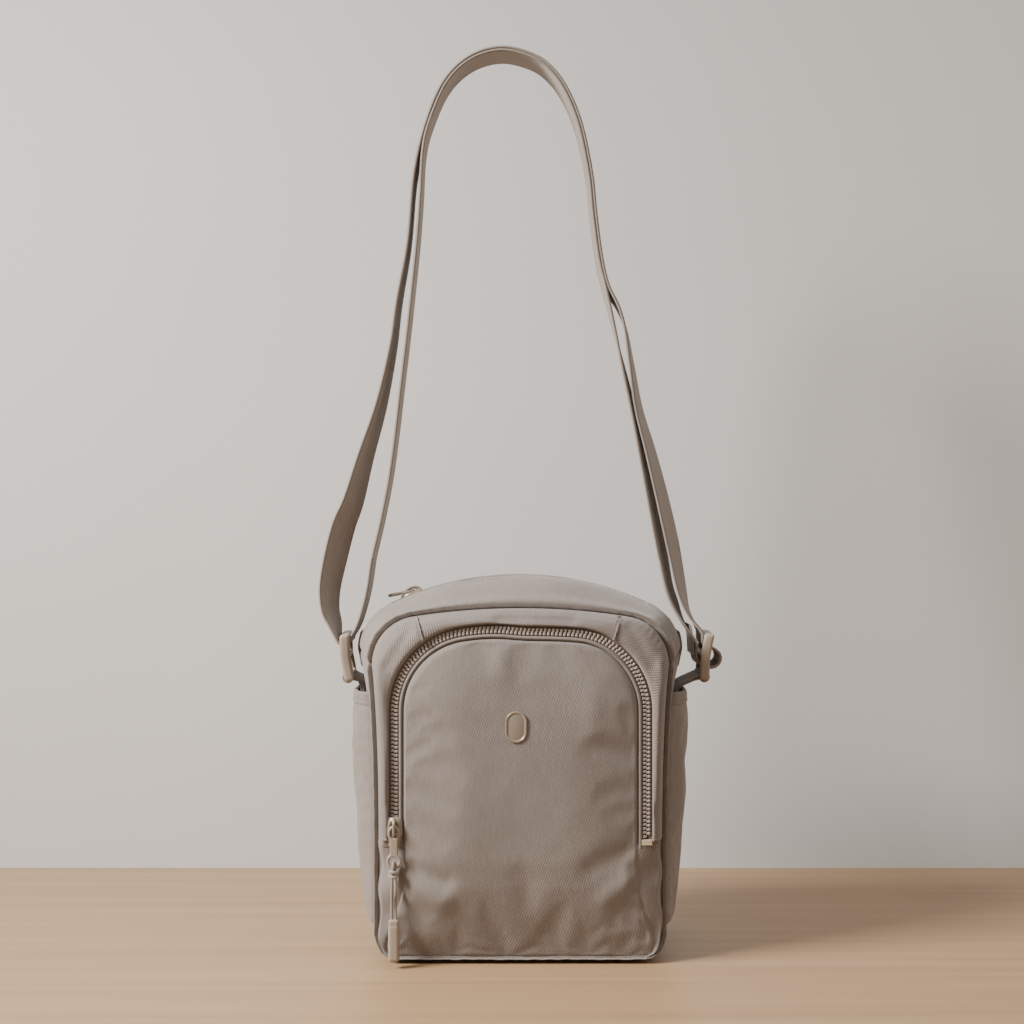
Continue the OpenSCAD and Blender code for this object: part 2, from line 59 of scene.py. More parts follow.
Place = Callable[[np.ndarray, np.ndarray], np.ndarray]


def node_box(node: str) -> tuple[np.ndarray, np.ndarray]:
    """Give a CAD node's lowest and highest corners in millimetres."""
    low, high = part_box(node)
    return np.array(low) / MM, np.array(high) / MM


# ---------------------------------------------------------------- modelling tools
class Bench:
    """The hand operations that every piece is made with."""

    @staticmethod
    def clear() -> None:
        """Leave object mode ready with nothing selected."""
        if bpy.context.object and bpy.context.object.mode != "OBJECT":
            bpy.ops.object.mode_set(mode="OBJECT")
        bpy.ops.object.select_all(action="DESELECT")

    @staticmethod
    def pick(piece: bpy.types.Object) -> None:
        """Make one piece the only selected and active one."""
        Bench.clear()
        piece.select_set(True)
        bpy.context.view_layer.objects.active = piece

    @staticmethod
    def finish_modifiers(piece: bpy.types.Object) -> None:
        """Apply every modifier on a piece."""
        Bench.pick(piece)
        for modifier in list(piece.modifiers):
            bpy.ops.object.modifier_apply(modifier=modifier.name)

    @staticmethod
    def settle_place(piece: bpy.types.Object) -> None:
        """Move a piece's place, turn and scale into its mesh."""
        Bench.pick(piece)
        bpy.ops.object.transform_apply(location=True, rotation=True, scale=True)

    @staticmethod
    def merge(piece: bpy.types.Object, gap: float = 0.01) -> None:
        """Merge vertices closer than a gap.

        Args:
            piece: The mesh.
            gap: The largest distance to merge, in millimetres.
        """
        Bench.pick(piece)
        bpy.ops.object.mode_set(mode="EDIT")
        bpy.ops.mesh.select_all(action="SELECT")
        bpy.ops.mesh.remove_doubles(threshold=gap * MM)
        bpy.ops.object.mode_set(mode="OBJECT")

    @staticmethod
    def outward(piece: bpy.types.Object) -> None:
        """Turn the faces of a closed mesh outwards."""
        Bench.pick(piece)
        bpy.ops.object.mode_set(mode="EDIT")
        bpy.ops.mesh.select_all(action="SELECT")
        bpy.ops.mesh.normals_make_consistent(inside=False)
        bpy.ops.object.mode_set(mode="OBJECT")

    @staticmethod
    def face_towards(piece: bpy.types.Object, away_from: Sequence[float]) -> None:
        """Flip an open sheet so that its faces look away from a point in millimetres."""
        centre = Vector(away_from) * MM
        facing = sum(f.area * f.normal.dot(f.center - centre) for f in piece.data.polygons)
        if facing < 0:
            Bench.pick(piece)
            bpy.ops.object.mode_set(mode="EDIT")
            bpy.ops.mesh.select_all(action="SELECT")
            bpy.ops.mesh.flip_normals()
            bpy.ops.object.mode_set(mode="OBJECT")

    @staticmethod
    def smooth(piece: bpy.types.Object, angle: float = 40.0) -> None:
        """Shade a piece smooth except across edges sharper than an angle in degrees."""
        Bench.pick(piece)
        bpy.ops.object.shade_smooth_by_angle(angle=math.radians(angle))

    @staticmethod
    def sheet(name: str, cols: int, rows: int, place: Place) -> bpy.types.Object:
        """Lay a grid primitive onto a surface.

        Args:
            name: The piece's name.
            cols: Cells along the surface's first direction.
            rows: Cells along the second.
            place: Gives points in millimetres for arrays of u and v from 0 to 1.

        Returns:
            The sheet, with a UV map in millimetres along its own cloth.
        """
        Bench.clear()
        bpy.ops.mesh.primitive_grid_add(x_subdivisions=cols, y_subdivisions=rows, size=2)
        piece = bpy.context.object
        piece.name = name
        piece.data.name = name
        mesh = piece.data
        flat = np.empty(len(mesh.vertices) * 3)
        mesh.vertices.foreach_get("co", flat)
        flat = flat.reshape(-1, 3)
        u, v = (flat[:, 0] + 1) / 2, (flat[:, 1] + 1) / 2
        points = place(u, v)
        mesh.vertices.foreach_set("co", (points * MM).ravel())
        across = len(np.unique(np.round(u, 6)))
        grid = points.reshape(-1, across, 3)
        steps_u = np.linalg.norm(np.diff(grid, axis=1), axis=2).mean(axis=0)
        steps_v = np.linalg.norm(np.diff(grid, axis=0), axis=2).mean(axis=1)
        run_u = np.concatenate([[0], np.cumsum(steps_u)])
        run_v = np.concatenate([[0], np.cumsum(steps_v)])
        order = np.empty(len(mesh.loops), dtype=int)
        mesh.loops.foreach_get("vertex_index", order)
        cloth = np.stack([run_u[order % across], run_v[order // across]], axis=1)
        mesh.uv_layers[0].name = "Cloth"
        mesh.uv_layers[0].data.foreach_set("uv", cloth.ravel())
        mesh.update()
        return piece

    @staticmethod
    def thicken(piece: bpy.types.Object, thickness: float, levels: int = 1) -> None:
        """Give a sheet its thickness and round it off.

        Args:
            piece: The open sheet, its faces outwards.
            thickness: In millimetres.
            levels: Subdivision levels.
        """
        wall = piece.modifiers.new("Wall", "SOLIDIFY")
        wall.thickness = thickness * MM
        wall.offset = -1
        if levels:
            round_off = piece.modifiers.new("Round", "SUBSURF")
            round_off.levels = levels
            round_off.render_levels = levels
        Bench.finish_modifiers(piece)
        Bench.smooth(piece, 50)

    @staticmethod
    def repeat(name: str, pattern: bpy.types.Object, places: Sequence[Matrix]) -> bpy.types.Object:
        """Copy a small pattern to many places as one mesh, and remove the pattern.

        Args:
            name: The new piece's name.
            pattern: The piece to copy.
            places: One matrix for each copy, in metres.

        Returns:
            The joined copies.
        """
        source = pattern.data
        count = len(source.vertices)
        base = np.ones((count, 4))
        base[:, :3] = np.array([v.co[:] for v in source.vertices])
        faces = [tuple(p.vertices) for p in source.polygons]
        points = np.concatenate([(base @ np.array(m).T)[:, :3] for m in places])
        copies = [tuple(k * count + i for i in f) for k in range(len(places)) for f in faces]
        mesh = bpy.data.meshes.new(name)
        mesh.from_pydata(points.tolist(), [], copies)
        mesh.update()
        piece = bpy.data.objects.new(name, mesh)
        bpy.context.collection.objects.link(piece)
        bpy.data.objects.remove(pattern)
        Bench.smooth(piece, 50)
        return piece

    @staticmethod
    def join(name: str, parts: Sequence[bpy.types.Object]) -> bpy.types.Object:
        """Join parts into one piece with a new name."""
        Bench.clear()
        for part in parts:
            part.select_set(True)
        bpy.context.view_layer.objects.active = parts[0]
        bpy.ops.object.join()
        parts[0].name = name
        parts[0].data.name = name
        return parts[0]

    @staticmethod
    def fuse(name: str, parts: Sequence[bpy.types.Object], grain: float, passes: int) -> bpy.types.Object:
        """Melt overlapping parts into one moulded body with soft inner corners.

        Args:
            name: The new piece's name.
            parts: Closed parts that overlap.
            grain: The voxel size in millimetres.
            passes: Smoothing passes.

        Returns:
            The moulded body.
        """
        body = Bench.join(name, parts)
        Bench.settle_place(body)
        melt = body.modifiers.new("Melt", "REMESH")
        melt.mode = "VOXEL"
        melt.voxel_size = grain * MM
        soft = body.modifiers.new("Soft", "SMOOTH")
        soft.factor = 0.5
        soft.iterations = passes
        Bench.finish_modifiers(body)
        Bench.smooth(body, 60)
        return body

    @staticmethod
    def block(size: Sequence[float], at: Sequence[float], round_by: float,
              steps: int = 2) -> bpy.types.Object:
        """A block with rounded edges.

        Args:
            size: Its three sizes in millimetres.
            at: Its centre in millimetres.
            round_by: The radius of its edges.
            steps: Segments of each rounded edge.

        Returns:
            The block, its place in its mesh.
        """
        Bench.clear()
        bpy.ops.mesh.primitive_cube_add(size=1, location=Vector(at) * MM)
        piece = bpy.context.object
        piece.scale = Vector(size) * MM
        Bench.settle_place(piece)
        edge = piece.modifiers.new("Edge", "BEVEL")
        edge.width = round_by * MM
        edge.segments = steps
        Bench.finish_modifiers(piece)
        return piece

    @staticmethod
    def ring(radius: float, bar: float, at: Sequence[float], turn: Sequence[float],
             scale: Sequence[float] = (1, 1, 1)) -> bpy.types.Object:
        """A torus with its place in its mesh.

        Args:
            radius: To the middle of its bar, in millimetres.
            bar: The bar's radius.
            at: Its centre.
            turn: Euler angles in degrees.
            scale: Stretch before it is turned.

        Returns:
            The ring.
        """
        Bench.clear()
        bpy.ops.mesh.primitive_torus_add(major_radius=radius * MM, minor_radius=bar * MM,
                                         major_segments=40, minor_segments=14)
        piece = bpy.context.object
        piece.scale = scale
        Bench.settle_place(piece)
        piece.rotation_euler = [math.radians(a) for a in turn]
        piece.location = Vector(at) * MM
        Bench.settle_place(piece)
        return piece

    @staticmethod
    def move(piece: bpy.types.Object, matrix: Matrix) -> None:
        """Put a piece that was modelled at the origin into place, in its mesh."""
        piece.data.transform(matrix)
        piece.data.update()


def smoothstep(value: np.ndarray, start: float, end: float) -> np.ndarray:
    """Rise smoothly from 0 at start to 1 at end."""
    t = np.clip((value - start) / (end - start), 0, 1)
    return t * t * (3 - 2 * t)


def wander(points: np.ndarray, size: float, seed: float) -> np.ndarray:
    """Smooth noise from -1 to 1.

    Args:
        points: Places in millimetres.
        size: The width of a ripple in millimetres.
        seed: Shifts the pattern.

    Returns:
        One value for each point.
    """
    shift = Vector((seed, seed * 1.7, -seed))
    return np.array([noise.noise(Vector(p) / size + shift) for p in points])


def spline(keys: Sequence[Sequence[float]], per_span: int) -> np.ndarray:
    """Run a Catmull-Rom curve through keys of any number of values.

    Args:
        keys: The key points.
        per_span: Steps between two keys.

    Returns:
        The points, both ends included.
    """
    k = np.array(keys, float)
    out = []
    for i in range(len(k) - 1):
        a, b, c, d = k[max(i - 1, 0)], k[i], k[i + 1], k[min(i + 2, len(k) - 1)]
        for t in np.arange(per_span) / per_span:
            out.append(0.5 * (2 * b + (c - a) * t + (2 * a - 5 * b + 4 * c - d) * t ** 2
                              + (3 * b - 3 * c + d - a) * t ** 3))
    out.append(k[-1])
    return np.array(out)


def spaced(path: np.ndarray, pitch: float) -> np.ndarray:
    """Step along a path at an even pitch and give the points."""
    run = np.concatenate([[0], np.cumsum(np.linalg.norm(np.diff(path, axis=0), axis=1))])
    at = np.arange(pitch / 2, run[-1], pitch)
    return np.stack([np.interp(at, run, path[:, k]) for k in range(path.shape[1])], axis=1)


def frames_along(path: np.ndarray, up: Sequence[float]) -> list[Matrix]:
    """Matrices that put Z along a path of millimetres and X away from an up direction."""
    places = []
    for i, point in enumerate(path):
        along = Vector(path[min(i + 1, len(path) - 1)] - path[max(i - 1, 0)]).normalized()
        out = Vector(up if np.ndim(up) == 1 else up[i])
        out = (out - along * out.dot(along)).normalized()
        side = out.cross(along)
        turn = Matrix((side, out, along)).transposed().to_4x4()
        places.append(Matrix.Translation(Vector(point) * MM) @ turn)
    return places


# ---------------------------------------------------------------- the bag's outlines
@dataclass(frozen=True)
class Outline:
    """A rounded arch seen from the front, in millimetres."""

    low: float
    wide: float
    foot: float
    crest: float
    corner: float
    shoulder: float
    crown: float
    power: float = 4.0
    base_steps: int = 24
    corner_steps: int = 12
    side_steps: int = 46
    shoulder_steps: int = 16
    top_steps: int = 26

    def inset(self, d: float) -> "Outline":
        """Give the outline that lies d inside this one."""
        return Outline(self.low - d, self.wide - d, self.foot + d, self.crest - d,
                       self.corner - d, self.shoulder - d, self.crown - d)

    @property
    def shoulder_z(self) -> float:
        """The height where the shoulder starts."""
        span = self.crown - self.shoulder
        return self.crest - self.crown + math.sqrt(span ** 2 - (self.wide - self.shoulder) ** 2)

    @property
    def shoulder_index(self) -> int:
        """The index of the loop's point where the right shoulder starts."""
        return self.base_steps + self.corner_steps + self.side_steps

    def side_x(self, z: np.ndarray) -> np.ndarray:
        """Half width on the straight sides at a height."""
        start = self.foot + self.corner
        u = np.clip((np.asarray(z, float) - start) / (self.shoulder_z - start), 0, None)
        return self.low + (self.wide - self.low) * u ** self.power

    def loop(self) -> np.ndarray:
        """Give the closed outline from the middle of the base up the right side."""
        def arc(cx: float, cz: float, r: float, a0: float, a1: float, n: int) -> np.ndarray:
            """Points on an arc, its first one left out."""
            a = np.radians(np.linspace(a0, a1, n + 1)[1:])
            return np.stack([cx + r * np.cos(a), cz + r * np.sin(a)], axis=1)

        zs, start = self.shoulder_z, self.foot + self.corner
        lean = math.degrees(math.atan2(zs - self.crest + self.crown, self.wide - self.shoulder))
        x = np.linspace(0, self.low - self.corner, self.base_steps + 1)
        z = np.linspace(start, zs, self.side_steps + 1)[1:]
        half = np.concatenate([
            np.stack([x, np.full_like(x, self.foot)], axis=1),
            arc(self.low - self.corner, start, self.corner, -90, 0, self.corner_steps),
            np.stack([self.side_x(z), z], axis=1),
            arc(self.wide - self.shoulder, zs, self.shoulder, 0, lean, self.shoulder_steps),
            arc(0, self.crest - self.crown, self.crown, lean, 90, self.top_steps)])
        return np.concatenate([half, half[-2:0:-1] * (-1, 1)])

    def arch(self, foot: float, side_steps: int = 40) -> np.ndarray:
        """Give the open arch from its right foot over the crown to its left foot."""
        zs = self.shoulder_z
        lean = math.atan2(zs - self.crest + self.crown, self.wide - self.shoulder)
        z = np.linspace(foot, zs, side_steps + 1)
        a = np.linspace(0, lean, self.shoulder_steps * 2 + 1)[1:]
        b = np.linspace(lean, math.pi / 2, self.top_steps + 1)[1:]
        half = np.concatenate([
            np.stack([self.side_x(z), z], axis=1),
            np.stack([self.wide - self.shoulder + self.shoulder * np.cos(a),
                      zs + self.shoulder * np.sin(a)], axis=1),
            np.stack([self.crown * np.cos(b), self.crest - self.crown + self.crown * np.sin(b)], axis=1)])
        return np.concatenate([half, half[-2::-1] * (-1, 1)])


def normals(path: np.ndarray, closed: bool) -> np.ndarray:
    """Unit normals to the right of a path in the plane."""
    if closed:
        step = np.roll(path, -1, axis=0) - np.roll(path, 1, axis=0)
    else:
        step = np.gradient(path, axis=0)
    step /= np.linalg.norm(step, axis=1)[:, None]
    return np.stack([step[:, 1], -step[:, 0]], axis=1)


def sample(table: np.ndarray, index: np.ndarray) -> np.ndarray:
    """Read rows of a table at fractional indices."""
    at = np.arange(len(table))
    return np.stack([np.interp(index, at, table[:, k]) for k in range(table.shape[1])], axis=1)


class BagForm:
    """The bag's shared surfaces, worked out from the frame."""

    def __init__(self) -> None:
        """Read the driving sizes from the CAD nodes."""
        wall_low, wall_high = node_box("pocket_back_wall")
        low, high = node_box("lower_gusset")
        _, top = node_box("top_gusset_front")
        tape_low, tape_high = node_box("pocket_zip_tapes")
        self.seam_y = wall_high[1] * -1
        self.wall_y = wall_low[1]
        self.face = Outline(wall_high[0] - 4, wall_high[0], wall_low[2], wall_high[2], 14, 30, 400)
        self.mid = Outline(high[0] - 9, high[0], low[2], top[2], 18, 29, 185)
        self.zip_y = (tape_low[1] + tape_high[1]) / 2
        self.tape_half = 7.2
        self.zip_half = tape_high[0] - self.tape_half
        self.zip_top = tape_high[2] - self.tape_half
        self.zip_end = tape_low[2]
        self.flat_half = 12.0
        self.face_loop = self.face.loop()
        self.mid_loop = self.mid.loop()

    def bulge(self, y: np.ndarray) -> np.ndarray:
        """How far the gusset has swelled from its seams to its middle, 0 to 1."""
        a = np.clip((np.abs(y) - self.flat_half) / (self.seam_y - self.flat_half), 0, 1)
        return 1 - a ** 2

    def gusset(self, index: np.ndarray, y: np.ndarray, inset: np.ndarray | float = 0.0) -> np.ndarray:
        """Points of the gusset's outside.

        Args:
            index: Place along the outline, as a loop index that may pass its end.
            y: Depth in millimetres.
            inset: How far inside the surface.

        Returns:
            The points.
        """
        twice_face = np.concatenate([self.face_loop, self.face_loop, self.face_loop[:1]])
        twice_mid = np.concatenate([self.mid_loop, self.mid_loop, self.mid_loop[:1]])
        out = normals(self.mid_loop, True)
        twice_out = np.concatenate([out, out, out[:1]])
        s = self.bulge(y)[:, None]
        flat = sample(twice_face, index) * (1 - s) + sample(twice_mid, index) * s
        flat = flat - sample(twice_out, index) * np.reshape(inset, (-1, 1))
        return np.stack([flat[:, 0], y, flat[:, 1]], axis=1)

    def zip_outline(self, d: float) -> Outline:
        """The pocket zip's line moved outwards by d."""
        return Outline(self.zip_half + d, self.zip_half + d, 0, self.zip_top + d, 1, 45 + d, 230 + d)

    def zip_arch(self, d: float, foot: float) -> np.ndarray:
        """The zip's line moved outwards by d, with the small dip at its crown."""
        path = self.zip_outline(d).arch(foot)
        spread = np.where(path[:, 0] < 4, 15.0, 30.0)
        dip = 2.0 * np.exp(-((path[:, 0] - 4) / spread) ** 2)
        path[:, 1] -= dip * (path[:, 1] > 150)
        return path


# ---------------------------------------------------------------- finishes
class Tree:
    """Adds and joins the nodes of one material or node group."""

    def __init__(self, tree: bpy.types.NodeTree) -> None:
        """Keep the tree that nodes are added to."""
        self.tree = tree

    def add(self, kind: str, **settings: object) -> bpy.types.Node:
        """Add a node and set its properties."""
        node = self.tree.nodes.new(kind)
        for name, value in settings.items():
            setattr(node, name, value)
        return node

    def feed(self, socket: bpy.types.NodeSocket, value: object) -> None:
        """Link an output to a socket, or set the socket's own value."""
        if isinstance(value, bpy.types.NodeSocket):
            self.tree.links.new(value, socket)
        else:
            socket.default_value = value

    def calc(self, operation: str, *values: object) -> bpy.types.NodeSocket:
        """Add a Math node and give its result."""
        node = self.add("ShaderNodeMath", operation=operation)
        for socket, value in zip(node.inputs, values):
            self.feed(socket, value)
        return node.outputs[0]

    def blend(self, amount: object, low: object, high: object) -> bpy.types.NodeSocket:
        """Mix two colours and give the result."""
        node = self.add("ShaderNodeMix", data_type="RGBA")
        self.feed(node.inputs["Factor"], amount)
        self.feed(node.inputs[6], low)
        self.feed(node.inputs[7], high)
        return node.outputs[2]


class Effect(Enum):
    """Shared effects that materials place as node groups."""

    TWILL = "twill_weave"
    WEBBING = "webbing_ribs"
    MOTTLE = "soft_mottle"
    HANDLING = "painted_edge_highlight"


class Effects:
    """Builds each shared node group once."""

    @staticmethod
    def _new(effect: Effect, inputs: Sequence[tuple[str, str, float]],
             outputs: Sequence[str]) -> tuple[Tree, bpy.types.Node, bpy.types.Node]:
        """Make an empty group with named sockets.

        Args:
            effect: Which effect it is.
            inputs: Name, socket kind and default of each input.
            outputs: Names of the value outputs.

        Returns:
            The tree, its input node and its output node.
        """
        group = bpy.data.node_groups.new(effect.value, "ShaderNodeTree")
        for name, kind, default in inputs:
            socket = group.interface.new_socket(name, in_out="INPUT", socket_type=kind)
            if kind == "NodeSocketFloat":
                socket.default_value = default
        for name in outputs:
            group.interface.new_socket(name, in_out="OUTPUT", socket_type="NodeSocketFloat")
        tree = Tree(group)
        return tree, tree.add("NodeGroupInput"), tree.add("NodeGroupOutput")

    @staticmethod
    def twill() -> None:
        """Fine diagonal ribs crossed by yarns, on cloth coordinates in millimetres."""
        tree, into, out = Effects._new(Effect.TWILL, [("Cloth", "NodeSocketVector", 0),
                                                      ("Pitch", "NodeSocketFloat", 1.0)],
                                       ["Height", "Yarn"])
        split = tree.add("ShaderNodeSeparateXYZ")
        tree.feed(split.inputs[0], into.outputs["Cloth"])
        x, y = split.outputs[0], split.outputs[1]
        turns = tree.calc("DIVIDE", math.tau, into.outputs["Pitch"])
        rib = tree.calc("SINE", tree.calc("MULTIPLY", tree.calc("ADD", x, y), turns))
        across = tree.calc("SUBTRACT", x, tree.calc("MULTIPLY", y, 0.4))
        cross = tree.calc("SINE", tree.calc("MULTIPLY", across, tree.calc("MULTIPLY", turns, 0.9)))
        high = tree.calc("MULTIPLY_ADD", rib, 0.36, tree.calc("MULTIPLY_ADD", cross, 0.14, 0.5))
        slub = tree.add("ShaderNodeTexNoise", noise_dimensions="2D")
        stretch = tree.add("ShaderNodeVectorMath", operation="MULTIPLY")
        tree.feed(stretch.inputs[0], into.outputs["Cloth"])
        stretch.inputs[1].default_value = (0.9, 0.12, 1)
        tree.feed(slub.inputs["Vector"], stretch.outputs[0])
        slub.inputs["Scale"].default_value = 1.0
        slub.inputs["Detail"].default_value = 3.0
        tree.feed(out.inputs["Height"], high)
        tree.feed(out.inputs["Yarn"],
                  tree.calc("MULTIPLY_ADD", high, 0.6, tree.calc("MULTIPLY", slub.outputs[0], 0.5)))

    @staticmethod
    def webbing() -> None:
        """Ribs across a woven tape with a herringbone lean."""
        tree, into, out = Effects._new(Effect.WEBBING, [("Cloth", "NodeSocketVector", 0),
                                                        ("Pitch", "NodeSocketFloat", 1.4)],
                                       ["Height", "Rib"])
        split = tree.add("ShaderNodeSeparateXYZ")
        tree.feed(split.inputs[0], into.outputs["Cloth"])
        turns = tree.calc("DIVIDE", math.tau, into.outputs["Pitch"])
        zigzag = tree.calc("PINGPONG", split.outputs[1], 1.6)
        rib = tree.calc("SINE", tree.calc("MULTIPLY", tree.calc("ADD", split.outputs[0], zigzag), turns))
        yarn = tree.calc("SINE", tree.calc("MULTIPLY", split.outputs[1], tree.calc("MULTIPLY", turns, 0.9)))
        high = tree.calc("MULTIPLY_ADD", rib, 0.3, tree.calc("MULTIPLY_ADD", yarn, 0.2, 0.5))
        tree.feed(out.inputs["Height"], high)
        tree.feed(out.inputs["Rib"], high)

    @staticmethod
    def mottle() -> None:
        """Large soft clouds and fine grain for uneven dye and marks of use."""
        tree, into, out = Effects._new(Effect.MOTTLE, [("Place", "NodeSocketVector", 0),
                                                       ("Size", "NodeSocketFloat", 18.0)],
                                       ["Cloud", "Grain"])
        cloud = tree.add("ShaderNodeTexNoise")
        tree.feed(cloud.inputs["Vector"], into.outputs["Place"])
        tree.feed(cloud.inputs["Scale"], into.outputs["Size"])
        cloud.inputs["Detail"].default_value = 4.0
        grain = tree.add("ShaderNodeTexNoise")
        tree.feed(grain.inputs["Vector"], into.outputs["Place"])
        tree.feed(grain.inputs["Scale"], tree.calc("MULTIPLY", into.outputs["Size"], 60.0))
        grain.inputs["Detail"].default_value = 2.0
        tree.feed(out.inputs["Cloud"], cloud.outputs[0])
        tree.feed(out.inputs["Grain"], grain.outputs[0])

    @staticmethod
    def paint_edge_highlight() -> None:
        """A mask of convex edges for a painted highlight that lightens their colour."""
        tree, into, out = Effects._new(Effect.HANDLING, [("Place", "NodeSocketVector", 0)], ["Edge"])
        shape = tree.add("ShaderNodeNewGeometry")
        edge = tree.calc("MULTIPLY", tree.calc("SUBTRACT", shape.outputs["Pointiness"], 0.52), 12.0)
        breakup = tree.add("ShaderNodeTexNoise")
        tree.feed(breakup.inputs["Vector"], into.outputs["Place"])
        breakup.inputs["Scale"].default_value = 500.0
        clamp = tree.add("ShaderNodeClamp")
        tree.feed(clamp.inputs["Value"], tree.calc("MULTIPLY", edge, breakup.outputs[0]))
        tree.feed(out.inputs["Edge"], clamp.outputs[0])

    @staticmethod
    def build() -> None:
        """Build every group."""
        Effects.twill()
        Effects.webbing()
        Effects.mottle()
        Effects.paint_edge_highlight()

    @staticmethod
    def use(tree: Tree, effect: Effect, **values: object) -> bpy.types.Node:
        """Place a group in a material and feed its inputs by name."""
        node = tree.add("ShaderNodeGroup", node_tree=bpy.data.node_groups[effect.value])
        for name, value in values.items():
            tree.feed(node.inputs[name], value)
        return node


@dataclass(frozen=True)
class Cloth:
    """A woven finish: its two yarn colours, how it shines and its weave."""

    name: str
    light: tuple[float, float, float]
    dark: tuple[float, float, float]
    pitch: float = 1.0
    relief: float = 0.25
    roughness: float = 0.62
    sheen: float = 0.35
    weave: Effect = Effect.TWILL
    by_uv: bool = True

    def material(self) -> bpy.types.Material:
        """Build the woven material."""
        stuff = bpy.data.materials.new(self.name)
        stuff.use_nodes = True
        tree = Tree(stuff.node_tree)
        shader = stuff.node_tree.nodes["Principled BSDF"]
        place = tree.add("ShaderNodeTexCoord").outputs["Object"]
        if self.by_uv:
            cloth = tree.add("ShaderNodeUVMap", uv_map="Cloth").outputs[0]
        else:
            scaled = tree.add("ShaderNodeMapping")
            scaled.inputs["Scale"].default_value = (1000, 1000, 1000)
            scaled.inputs["Rotation"].default_value = (math.radians(90), 0, 0)
            tree.feed(scaled.inputs["Vector"], place)
            cloth = scaled.outputs[0]
        weave = Effects.use(tree, self.weave, Cloth=cloth, Pitch=self.pitch)
        mottle = Effects.use(tree, Effect.MOTTLE, Place=place, Size=16.0)
        amount = tree.calc("MULTIPLY_ADD", mottle.outputs["Cloud"], 0.45,
                           tree.calc("MULTIPLY_ADD", weave.outputs[1], 0.75, -0.1))
        clamp = tree.add("ShaderNodeClamp")
        tree.feed(clamp.inputs["Value"], amount)
        tree.feed(shader.inputs["Base Color"],
                  tree.blend(clamp.outputs[0], (*self.dark, 1), (*self.light, 1)))
        rough = tree.calc("MULTIPLY_ADD", mottle.outputs["Cloud"], 0.12, self.roughness - 0.06)
        tree.feed(shader.inputs["Roughness"], rough)
        bump = tree.add("ShaderNodeBump")
        bump.inputs["Strength"].default_value = 0.55
        bump.inputs["Distance"].default_value = self.relief * MM
        height = tree.calc("MULTIPLY_ADD", mottle.outputs["Grain"], 0.35, weave.outputs["Height"])
        tree.feed(bump.inputs["Height"], height)
        tree.feed(shader.inputs["Normal"], bump.outputs[0])
        shader.inputs["Sheen Weight"].default_value = self.sheen
        shader.inputs["Sheen Roughness"].default_value = 0.45
        shader.inputs["Sheen Tint"].default_value = (0.9, 0.86, 0.82, 1)
        shader.inputs["Specular IOR Level"].default_value = 0.35
        return stuff


@dataclass(frozen=True)
class Moulded:
    """A moulded or enamelled finish with fine grain and a painted highlight on its convex edges."""

    name: str
    colour: tuple[float, float, float]
    # The lighter colour painted on convex edges as a highlight.
    edge: tuple[float, float, float]
    roughness: float = 0.42
    metallic: float = 0.0
    coat: float = 0.0
    grain: float = 0.05

    def material(self) -> bpy.types.Material:
        """Build the moulded material."""
        stuff = bpy.data.materials.new(self.name)
        stuff.use_nodes = True
        tree = Tree(stuff.node_tree)
        shader = stuff.node_tree.nodes["Principled BSDF"]
        place = tree.add("ShaderNodeTexCoord").outputs["Object"]
        mottle = Effects.use(tree, Effect.MOTTLE, Place=place, Size=60.0)
        # Random tone plus a painted highlight that lightens convex edges.
        edge_highlight = Effects.use(tree, Effect.HANDLING, Place=place)
        tone_and_highlight = tree.calc("MULTIPLY_ADD", mottle.outputs["Cloud"], 0.25, edge_highlight.outputs["Edge"])
        clamp = tree.add("ShaderNodeClamp")
        tree.feed(clamp.inputs["Value"], tone_and_highlight)
        tree.feed(shader.inputs["Base Color"],
                  tree.blend(clamp.outputs[0], (*self.colour, 1), (*self.edge, 1)))
        tree.feed(shader.inputs["Roughness"],
                  tree.calc("MULTIPLY_ADD", mottle.outputs["Cloud"], 0.2, self.roughness - 0.1))
        bump = tree.add("ShaderNodeBump")
        bump.inputs["Strength"].default_value = 0.3
        bump.inputs["Distance"].default_value = self.grain * MM
        tree.feed(bump.inputs["Height"], mottle.outputs["Grain"])
        tree.feed(shader.inputs["Normal"], bump.outputs[0])
        shader.inputs["Metallic"].default_value = self.metallic
        shader.inputs["Coat Weight"].default_value = self.coat
        shader.inputs["Coat Roughness"].default_value = 0.3
        return stuff


@dataclass(frozen=True)
class Studio:
    """A matt studio surface for the table or the wall."""

    name: str
    light: tuple[float, float, float]
    dark: tuple[float, float, float]
    stretch: tuple[float, float, float]
    size: float
    roughness: float
    one_sided: bool = False

    def material(self) -> bpy.types.Material:
        """Build the studio surface."""
        stuff = bpy.data.materials.new(self.name)
        stuff.use_nodes = True
        tree = Tree(stuff.node_tree)
        shader = stuff.node_tree.nodes["Principled BSDF"]
        mapping = tree.add("ShaderNodeMapping")
        mapping.inputs["Scale"].default_value = self.stretch
        tree.feed(mapping.inputs["Vector"], tree.add("ShaderNodeTexCoord").outputs["Object"])
        mottle = Effects.use(tree, Effect.MOTTLE, Place=mapping.outputs[0], Size=self.size)
        tree.feed(shader.inputs["Base Color"],
                  tree.blend(mottle.outputs["Cloud"], (*self.dark, 1), (*self.light, 1)))
        shader.inputs["Roughness"].default_value = self.roughness
        bump = tree.add("ShaderNodeBump")
        bump.inputs["Strength"].default_value = 0.1
        bump.inputs["Distance"].default_value = 0.2 * MM
        tree.feed(bump.inputs["Height"], mottle.outputs["Grain"])
        tree.feed(shader.inputs["Normal"], bump.outputs[0])
        if self.one_sided:
            output = stuff.node_tree.nodes["Material Output"]
            mix = tree.add("ShaderNodeMixShader")
            tree.feed(mix.inputs[0], tree.add("ShaderNodeNewGeometry").outputs["Backfacing"])
            tree.feed(mix.inputs[1], shader.outputs[0])
            tree.feed(mix.inputs[2], tree.add("ShaderNodeBsdfTransparent").outputs[0])
            tree.feed(output.inputs["Surface"], mix.outputs[0])
        return stuff


